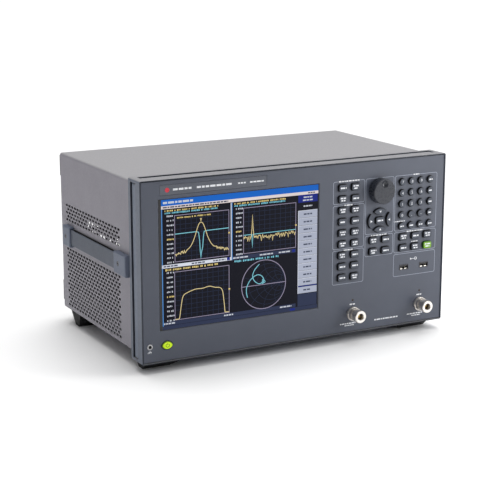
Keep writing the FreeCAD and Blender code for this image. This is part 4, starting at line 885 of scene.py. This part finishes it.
def make_group_outlines():
    """Rounded outlines with a gap for each title; gives back the relief that holds the titles."""
    lines = Relief(PANEL.low.y)
    titles = Relief(PANEL.low.y)
    for seed, (name, (left, low, right, high)) in enumerate(group_outlines().items()):
        outline = rounded_box(left, low, right, high, OUTLINE_CORNER)
        share = TITLE_SHARES.get(name)
        if share is None:
            lines.line(outline, OUTLINE_WIDTH, PRINT, closed=True)
            continue
        middle = (left + right) / 2
        title_width = share * (right - left)
        titles.centred_words(middle, high, title_width, 1.5 * MM, PRINT, 300 + seed)
        gap = title_width / 2 + 1 * MM
        right_half = outline[:len(outline) // 2]
        left_half = outline[len(outline) // 2:]
        path = [(middle - gap, high)] + left_half + right_half + [(middle + gap, high)]
        lines.line(path, OUTLINE_WIDTH, PRINT)
    lines.finish("group_outlines", ink("outline_ink", srgb(140, 146, 160)))
    return titles


def print_port_marks(marks):
    """A name over each test port, two lines of small print under it, and a warning between the ports."""
    ports_z = PORTS.middle.z
    for number, middle in enumerate(PORT_MIDDLES):
        left = middle - 18.7 * MM
        marks.centred_words(middle, ports_z + 12.4 * MM, 9 * MM, 1.6 * MM, PRINT, 401 + number)
        marks.words(left, ports_z - 12.4 * MM, 24 * MM, 1.4 * MM, PRINT, 420 + number)
        marks.words(left + 7 * MM, ports_z - 15.0 * MM, 14 * MM, 1.2 * MM, PRINT, 430 + number)
    marks.centred_words(PORTS.middle.x, ports_z - 13.0 * MM, 36 * MM, 1.7 * MM, PRINT, 410)


def print_socket_mark(marks):
    """Generic mark over the front sockets: a disc and a ring on a line."""
    stroke = 0.5 * MM
    x = USB.middle.x
    z = USB.high.z + 6.5 * MM
    marks.line(((x - 5 * MM, z), (x + 4 * MM, z)), stroke, PRINT)
    marks.disc(x - 5 * MM, z, 1.1 * MM, PRINT)
    marks.line(arc(x + 2.5 * MM, z, 1.8 * MM, 0, 360, 20)[:-1], stroke, PRINT, closed=True)


def print_ground_mark(marks):
    """Generic earth mark under the ground socket: a stem, a bar and three slanting strokes."""
    stroke = 0.6 * MM
    x = GROUND.middle.x
    z = GROUND.low.z - 2.6 * MM
    marks.line(((x, z), (x, z + 1.6 * MM)), stroke, PRINT)
    marks.line(((x - 2 * MM, z), (x + 2 * MM, z)), stroke, PRINT)
    for step in (-2, 0, 2):
        top = x + step * MM
        marks.line(((top, z), (top - 0.9 * MM, z - 1.9 * MM)), stroke, PRINT)


def make_panel_marks(marks):
    """White marks by the ports, sockets and keys, added to the group titles."""
    print_port_marks(marks)
    entry_row = Place("entry_keys_row_5")
    marks.words(entry_row.low.x - 5 * MM, entry_row.high.z + 0.4 * MM, 17 * MM, 1.2 * MM, PRINT, 440)
    state_row = Place("state_keys_row_2")
    last_key = state_row.high.x - WIDE_KEY / 2
    marks.centred_words(last_key, state_row.high.z + 0.7 * MM, 10 * MM, 1.2 * MM, PRINT, 441)
    print_socket_mark(marks)
    print_ground_mark(marks)
    marks.finish("panel_marks", MATERIALS["white_ink"])


PLATE_SIZE = (141.9 * MM, 11.9 * MM)
PLATE_MIDDLE = (-118.8 * MM, FRAME.low.z + 208.7 * MM)
# Marks on the plate: start from its left end, width, height.
PLATE_WORDS = (
    (17 * MM, 24 * MM, 2.4 * MM),
    (48 * MM, 48 * MM, 2.4 * MM),
    (103 * MM, 11 * MM, 1.7 * MM),
    (119 * MM, 19 * MM, 1.7 * MM),
)


def make_name_plate():
    """Plain plate let into the panel over the display, with generic marks."""
    left, right = (PLATE_MIDDLE[0] + side * PLATE_SIZE[0] / 2 for side in (-1, 1))
    low, high = (PLATE_MIDDLE[1] + side * PLATE_SIZE[1] / 2 for side in (-1, 1))
    plate = Relief(PANEL.low.y + 0.6 * MM)
    plate.slab(rounded_box(left, low, right, high, 0.4 * MM, 2), 0.45 * MM)
    plate.finish("name_plate", painted("name_plate_paint", srgb(84, 88, 98), roughness=0.35, wear=0.0))
    marks = Relief(PANEL.low.y + 0.15 * MM)
    middle = PLATE_MIDDLE[1]
    for seed, (start, width, size) in enumerate(PLATE_WORDS, 501):
        marks.words(left + start, middle, width, size, PRINT, seed)
    marks.finish("name_plate_marks", MATERIALS["white_ink"])
    badge = Relief(PANEL.low.y + 0.15 * MM)
    badge.disc(left + 9.5 * MM, middle, 2.8 * MM, PRINT, 32)
    badge.finish("name_plate_badge", ink("badge_red", srgb(200, 40, 60)))


# ---------------------------------------------------------------- legends on the keys

ENTRY_LEGENDS = {
    "entry_keys_row_1": ("7", "8", "9", None),
    "entry_keys_row_2": ("4", "5", "6", None),
    "entry_keys_row_3": ("1", "2", "3", None),
    "entry_keys_row_4": ("0", ".", "-", None),
    "entry_keys_row_5": (None, None, None, None),
}
DIGIT_HEIGHT = 3.6 * MM


def digit_slabs(marks, text, x, z):
    """Adds the outlines of a digit, centred on (x, z), as raised slabs."""
    curve = bpy.data.curves.new("digit", "FONT")
    curve.body = text
    curve.size = DIGIT_HEIGHT * 1.4
    curve.align_x = "CENTER"
    curve.resolution_u = 3
    helper = add_object("digit", curve)
    bpy.context.view_layer.update()
    flat = bpy.data.meshes.new_from_object(helper)
    for face in flat.polygons:
        corners = [flat.vertices[index].co for index in face.vertices]
        outline = [(x + corner.x, z + corner.y - DIGIT_HEIGHT / 2) for corner in corners]
        if face.normal.z < 0:
            outline.reverse()
        marks.slab(outline, PRINT)
    bpy.data.objects.remove(helper)
    bpy.data.curves.remove(curve)
    bpy.data.meshes.remove(flat)


def make_key_legends():
    """White marks on every key, one piece for each row so that it moves with its keys."""
    for number, node in enumerate(KEY_COUNTS):
        face = Place(node).low.y
        marks = Relief(face)
        legends = ENTRY_LEGENDS.get(node)
        for index, (x, z) in enumerate(key_middles(node)):
            seed = 600 + 10 * number + index
            if legends and legends[index]:
                digit_slabs(marks, legends[index], x, z)
            elif legends:
                marks.centred_words(x, z, 5.4 * MM, 1.6 * MM, PRINT, seed)
            elif random.Random(seed).random() < 0.5 and node != "enter_key":
                marks.centred_words(x, z + 1.5 * MM, 8.2 * MM, 1.7 * MM, PRINT, seed)
                marks.centred_words(x, z - 1.5 * MM, 6.2 * MM, 1.7 * MM, PRINT, seed + 5)
            else:
                marks.centred_words(x, z, 8.2 * MM, 1.9 * MM, PRINT, seed)
        marks.finish(f"{node}_legends", MATERIALS["white_ink"], node)


def make_cursor_arrows():
    """Triangles on the cursor keys that point to the middle of their group."""
    for node, (across, up) in CURSOR_KEYS.items():
        key = Place(node)
        marks = Relief(key.low.y)
        middle = Vector((key.middle.x, key.middle.z))
        tip = Vector((-across, -up)) * 1.9 * MM
        side = Vector((up, -across)) * 1.7 * MM
        foot = middle - tip * 0.5
        marks.slab([tuple(middle + tip), tuple(foot + side), tuple(foot - side)], PRINT)
        marks.finish(f"{node}_arrow", MATERIALS["white_ink"], node)


def lens_outline(x, z, length, width, steps=14):
    """Outline of two equal arcs that meet in points at the left and right, anticlockwise."""
    rise = width / 2
    radius = (length ** 2 / 4 + rise ** 2) / (2 * rise)
    half = math.degrees(math.asin(length / 2 / radius))
    upper = arc(x, z + rise - radius, radius, 90 - half, 90 + half, steps)
    lower = arc(x, z - rise + radius, radius, 270 - half, 270 + half, steps)
    return upper + lower[1:-1]


def make_power_ring():
    """Dark printed ring round the power key's opening."""
    key = Place("power_key")
    ring = Relief(PANEL.low.y)
    ring_width = 1 * MM
    grow = 2 * (KEY_CLEARANCE - KEY_FLANGE) + ring_width
    outline = lens_outline(key.middle.x, key.middle.z, key.size.x + grow, key.size.z + grow)
    ring.line(outline, ring_width, PRINT, closed=True)
    ring.finish("power_key_ring", ink("ring_blue", srgb(22, 24, 52)))


def make_power_symbol():
    key = Place("power_key")
    marks = Relief(key.low.y)
    x, z = key.middle.x, key.middle.z
    marks.line(arc(x, z, 2.2 * MM, 125, 415, 26), 0.5 * MM, PRINT)
    marks.line(((x, z + 0.4 * MM), (x, z + 2.6 * MM)), 0.5 * MM, PRINT)
    marks.finish("power_symbol", ink("symbol_green", srgb(40, 54, 12)), "power_key")


# ---------------------------------------------------------------- small fittings

DATA_SOCKET_LENGTH = 30 * MM
BNC_COUNT = 4
GUARD_RADII = (9, 16, 23, 30, 37)
REAR_PLATE = (20 * MM, 100 * MM, 100 * MM, 140 * MM)
REAR_SCREW_SPOTS = (-200 * MM, -90 * MM, 90 * MM, 200 * MM)


def round_rod(mesh, start, end, radius, sides=16):
    """Adds a closed rod with rounded ends between two points."""
    start, end = Vector(start), Vector(end)
    axis = (end - start).normalized()
    across = axis.orthogonal().normalized()
    other = axis.cross(across)
    profile = [(0.0, 0.35), (0.12, 0.75), (0.35, 1.0)]
    stations = [(start + axis * along * radius, scale * radius) for along, scale in profile]
    stations += [(end - axis * along * radius, scale * radius) for along, scale in reversed(profile)]
    rings = []
    for centre, size in stations:
        rings.append([
            mesh.verts.new(centre + (across * math.cos(math.tau * step / sides)
                                     + other * math.sin(math.tau * step / sides)) * size)
            for step in range(sides)
        ])
    for ring, after in zip(rings, rings[1:]):
        for step in range(sides):
            following = (step + 1) % sides
            mesh.faces.new((ring[step], ring[following], after[following], after[step]))
    mesh.faces.new(list(reversed(rings[0])))
    mesh.faces.new(rings[-1])


def soft_block(mesh, low, high, bevel):
    """Adds a box with bevelled edges between two corners."""
    low, high = Vector(low), Vector(high)
    made = bmesh.ops.create_cube(mesh, size=1.0)["verts"]
    for vertex in made:
        vertex.co = (low + high) / 2 + vertex.co * (high - low)
    edges = list({edge for vertex in made for edge in vertex.link_edges})
    bmesh.ops.bevel(mesh, geom=edges, offset=bevel, segments=2, affect="EDGES")


def finish_fitting(mesh, name, material):
    bmesh.ops.recalc_face_normals(mesh, faces=mesh.faces[:])
    finish_piece(mesh, name, material, "cabinet")


def make_strap_shadow_pad():
    """Thin black pad on the cover's side, behind the strap and between its caps: painted shadow of the gap
    between the strap and the cover.
    """
    gap = 0.5 * MM
    front = Place("handle_cap_front").high.y + gap
    rear = Place("handle_cap_rear").low.y - gap
    low = (COVER.low.x - 0.9 * MM, front, STRAP.low.z + 1 * MM)
    high = (COVER.low.x - 0.05 * MM, rear, STRAP.high.z + gap)
    shadow_pad = bmesh.new()
    soft_block(shadow_pad, low, high, 0.3 * MM)
    finish_fitting(shadow_pad, "strap_shadow_pad", MATERIALS["rubber"])


def make_usb_fittings():
    """Black tongue with four contacts, and two sprung tabs below it, in each socket."""
    tongues = bmesh.new()
    contacts = bmesh.new()
    tabs = bmesh.new()
    mouth = USB.low.y
    back = USB.high.y - 1 * MM
    floor = USB.low.z + 0.8 * MM
    under = USB.middle.z + 0.3 * MM
    for x in (USB.low.x + 7 * MM, USB.high.x - 7 * MM):
        low = (x - 5.4 * MM, mouth + 1 * MM, under)
        soft_block(tongues, low, (x + 5.4 * MM, back, under + 2 * MM), 0.2 * MM)
        for step in range(4):
            left = x + (step - 1.5) * 2.4 * MM - 0.5 * MM
            low = (left, mouth + 1.8 * MM, under - 0.25 * MM)
            soft_block(contacts, low, (left + 1 * MM, back - 1 * MM, under + 0.05 * MM), 0.05 * MM)
        for left in (x - 5.6 * MM, x + 0.6 * MM):
            high = (left + 3.6 * MM, mouth + 5 * MM, floor + 1.3 * MM)
            soft_block(tabs, (left, mouth + 0.3 * MM, floor), high, 0.3 * MM)
    finish_fitting(tongues, "usb_tongues", MATERIALS["black"])
    finish_fitting(contacts, "usb_contacts", MATERIALS["brass"])
    finish_fitting(tabs, "usb_spring_tabs", MATERIALS["nickel"])


def make_port_lamps():
    """Small round lamp over each test port."""
    lamps = bmesh.new()
    for x in PORT_MIDDLES:
        z = PORTS.middle.z + 17.7 * MM
        round_rod(lamps, (x, PANEL.low.y - 0.2 * MM, z), (x, PANEL.low.y + 2.6 * MM, z), 1.5 * MM)
    finish_fitting(lamps, "port_lamps", glossy("lamp_lens", srgb(58, 50, 46), 0.15))


def make_fan_guard():
    """Wire guard over the fan outlet: rings on four spokes."""
    guard = bmesh.new()
    y = REAR.high.y + 1.6 * MM
    wire = 0.8 * MM
    for radius in GUARD_RADII:
        corners = arc(FAN.middle.x, FAN.middle.z, radius * MM, 0, 360, 40)
        for (x0, z0), (x1, z1) in zip(corners, corners[1:]):
            round_rod(guard, (x0, y, z0), (x1, y, z1), wire, 8)
    middle = Vector((FAN.middle.x, y + 0.9 * MM, FAN.middle.z))
    for turn in (45, 135, 225, 315):
        direction = Vector((math.cos(math.radians(turn)), 0, math.sin(math.radians(turn))))
        round_rod(guard, middle + direction * 8 * MM, middle + direction * 48 * MM, wire, 8)
    finish_fitting(guard, "fan_guard", MATERIALS["guard_wire"])


def make_inlet_pins():
    """Three flat pins inside the mains inlet, the earth pin above the other two."""
    pins = bmesh.new()
    y0, y1 = INLET.high.y - 15 * MM, INLET.high.y - 4 * MM
    for x, z in ((-7, -1.5), (7, -1.5), (0, 2.5)):
        low = (INLET.middle.x + (x - 1) * MM, y0, INLET.middle.z + (z - 2.2) * MM)
        high = (INLET.middle.x + (x + 1) * MM, y1, INLET.middle.z + (z + 2.2) * MM)
        soft_block(pins, low, high, 0.3 * MM)
    finish_fitting(pins, "inlet_pins", MATERIALS["nickel"])


def data_socket_middles():
    first = DATA.low.x + DATA_SOCKET_LENGTH / 2
    last = DATA.high.x - DATA_SOCKET_LENGTH / 2
    return first, (first + last) / 2, last


def make_data_tongues():
    """Contact tongue inside each data socket on the rear."""
    tongues = bmesh.new()
    for x in data_socket_middles():
        low = (x - 11 * MM, DATA.low.y + 0.6 * MM, DATA.middle.z - 1.6 * MM)
        high = (x + 11 * MM, DATA.high.y - 3 * MM, DATA.middle.z + 1.6 * MM)
        soft_block(tongues, low, high, 0.3 * MM)
    finish_fitting(tongues, "data_tongues", MATERIALS["black"])


def make_rear_details():
    """Blank rating plate, small screws and marks on the rear panel."""
    plate = Relief(REAR.high.y, rear=True)
    plate.slab(rounded_box(*REAR_PLATE, 2 * MM), 0.3 * MM)
    plate.finish("rear_blank_plate", painted("plate_paint", srgb(196, 196, 198), roughness=0.4, wear=0.1))
    marks = Relief(REAR.high.y, rear=True)
    bnc_radius = BNC.size.z / 2
    bnc_step = (BNC.size.x - BNC.size.z) / (BNC_COUNT - 1)
    for step in range(BNC_COUNT):
        x = BNC.low.x + bnc_radius + step * bnc_step
        marks.centred_words(x, BNC.low.z - 4 * MM, 12 * MM, 1.8 * MM, PRINT, 700 + step)
    for seed, x in enumerate(data_socket_middles(), 710):
        marks.centred_words(x, DATA.high.z + 4 * MM, 14 * MM, 1.8 * MM, PRINT, seed)
    marks.finish("rear_marks", ink("rear_ink", srgb(60, 62, 66)))
    screws = bmesh.new()
    for x in REAR_SCREW_SPOTS:
        for z in (REAR.low.z + 52 * MM, REAR.high.z - 46 * MM):
            round_rod(screws, (x, REAR.high.y, z), (x, REAR.high.y + 1.6 * MM, z), 2.6 * MM)
    finish_fitting(screws, "rear_screws", MATERIALS["dark_steel"])


# ---------------------------------------------------------------- stage, light and camera

def make_floor():
    """Pale paper sheet under the instrument."""
    mesh = bmesh.new()
    bmesh.ops.create_grid(mesh, x_segments=1, y_segments=1, size=8.0)
    data = bpy.data.meshes.new("floor")
    mesh.to_mesh(data)
    mesh.free()
    floor = add_object("floor", data)
    surface = Surface("floor_paper")
    paper = surface.mix(surface.noise(3.0), (0.93, 0.93, 0.93, 1.0), (0.95, 0.95, 0.95, 1.0))
    surface.set(Specular_IOR_Level=0.1)
    data.materials.append(surface.finish(paper, 0.9))


def make_sky():
    """Studio surround: bright overhead, dim at the level of the floor."""
    world = bpy.data.worlds.new("studio")
    bpy.context.scene.world = world
    world.use_nodes = True
    graph = Graph(world.node_tree)
    direction = graph.nodes.new("ShaderNodeTexCoord").outputs["Generated"]
    strength = graph.remap(graph.part(direction, "Z"), 0.05, 0.6, 0.1, 0.95)
    background = graph.nodes["Background"]
    graph.feed(background.inputs["Color"], (1.0, 1.0, 1.0, 1.0))
    graph.feed(background.inputs["Strength"], strength)


def make_overhead_light():
    """Very soft light from above, a little behind the instrument and to its right."""
    sun = bpy.data.lights.new("overhead_softbox", "SUN")
    sun.energy = 2.5
    sun.angle = math.radians(60)
    overhead = add_object("overhead_softbox", sun)
    overhead.rotation_euler = (math.radians(-14), math.radians(8), 0)


def make_right_light():
    """Square lamp at the front right, aimed at the panel's right half."""
    data = bpy.data.lights.new("right_light", "AREA")
    data.size = 0.5
    data.energy = 6.0
    place = Vector((0.80, -0.62, 0.42))
    target = Vector((0.18, 0, 0.10))
    light = add_object("right_light", data)
    light.location = place
    light.rotation_euler = (target - place).to_track_quat("-Z", "Y").to_euler()


CAMERA_LENS = 101.16
CAMERA_PLACE = (-0.8577, -1.5903, 0.5265)
CAMERA_DOWN = 0.23034
CAMERA_TURN = 0.49424


def make_camera():
    """At the photograph's viewing angle: from the left, a little above, with a long lens."""
    data = bpy.data.cameras.new("camera")
    data.sensor_width = 36
    data.lens = CAMERA_LENS
    camera = add_object("camera", data)
    camera.location = CAMERA_PLACE
    camera.rotation_euler = (math.pi / 2 - CAMERA_DOWN, 0, -CAMERA_TURN)
    bpy.context.scene.camera = camera


dress_nodes()
make_display()
make_panel_marks(make_group_outlines())
make_name_plate()
make_key_legends()
make_cursor_arrows()
make_power_ring()
make_power_symbol()
make_strap_shadow_pad()
make_usb_fittings()
make_port_lamps()
make_fan_guard()
make_inlet_pins()
make_data_tongues()
make_rear_details()
make_floor()
make_sky()
make_overhead_light()
make_right_light()
make_camera()
bpy.context.scene.view_settings.view_transform = "Standard"
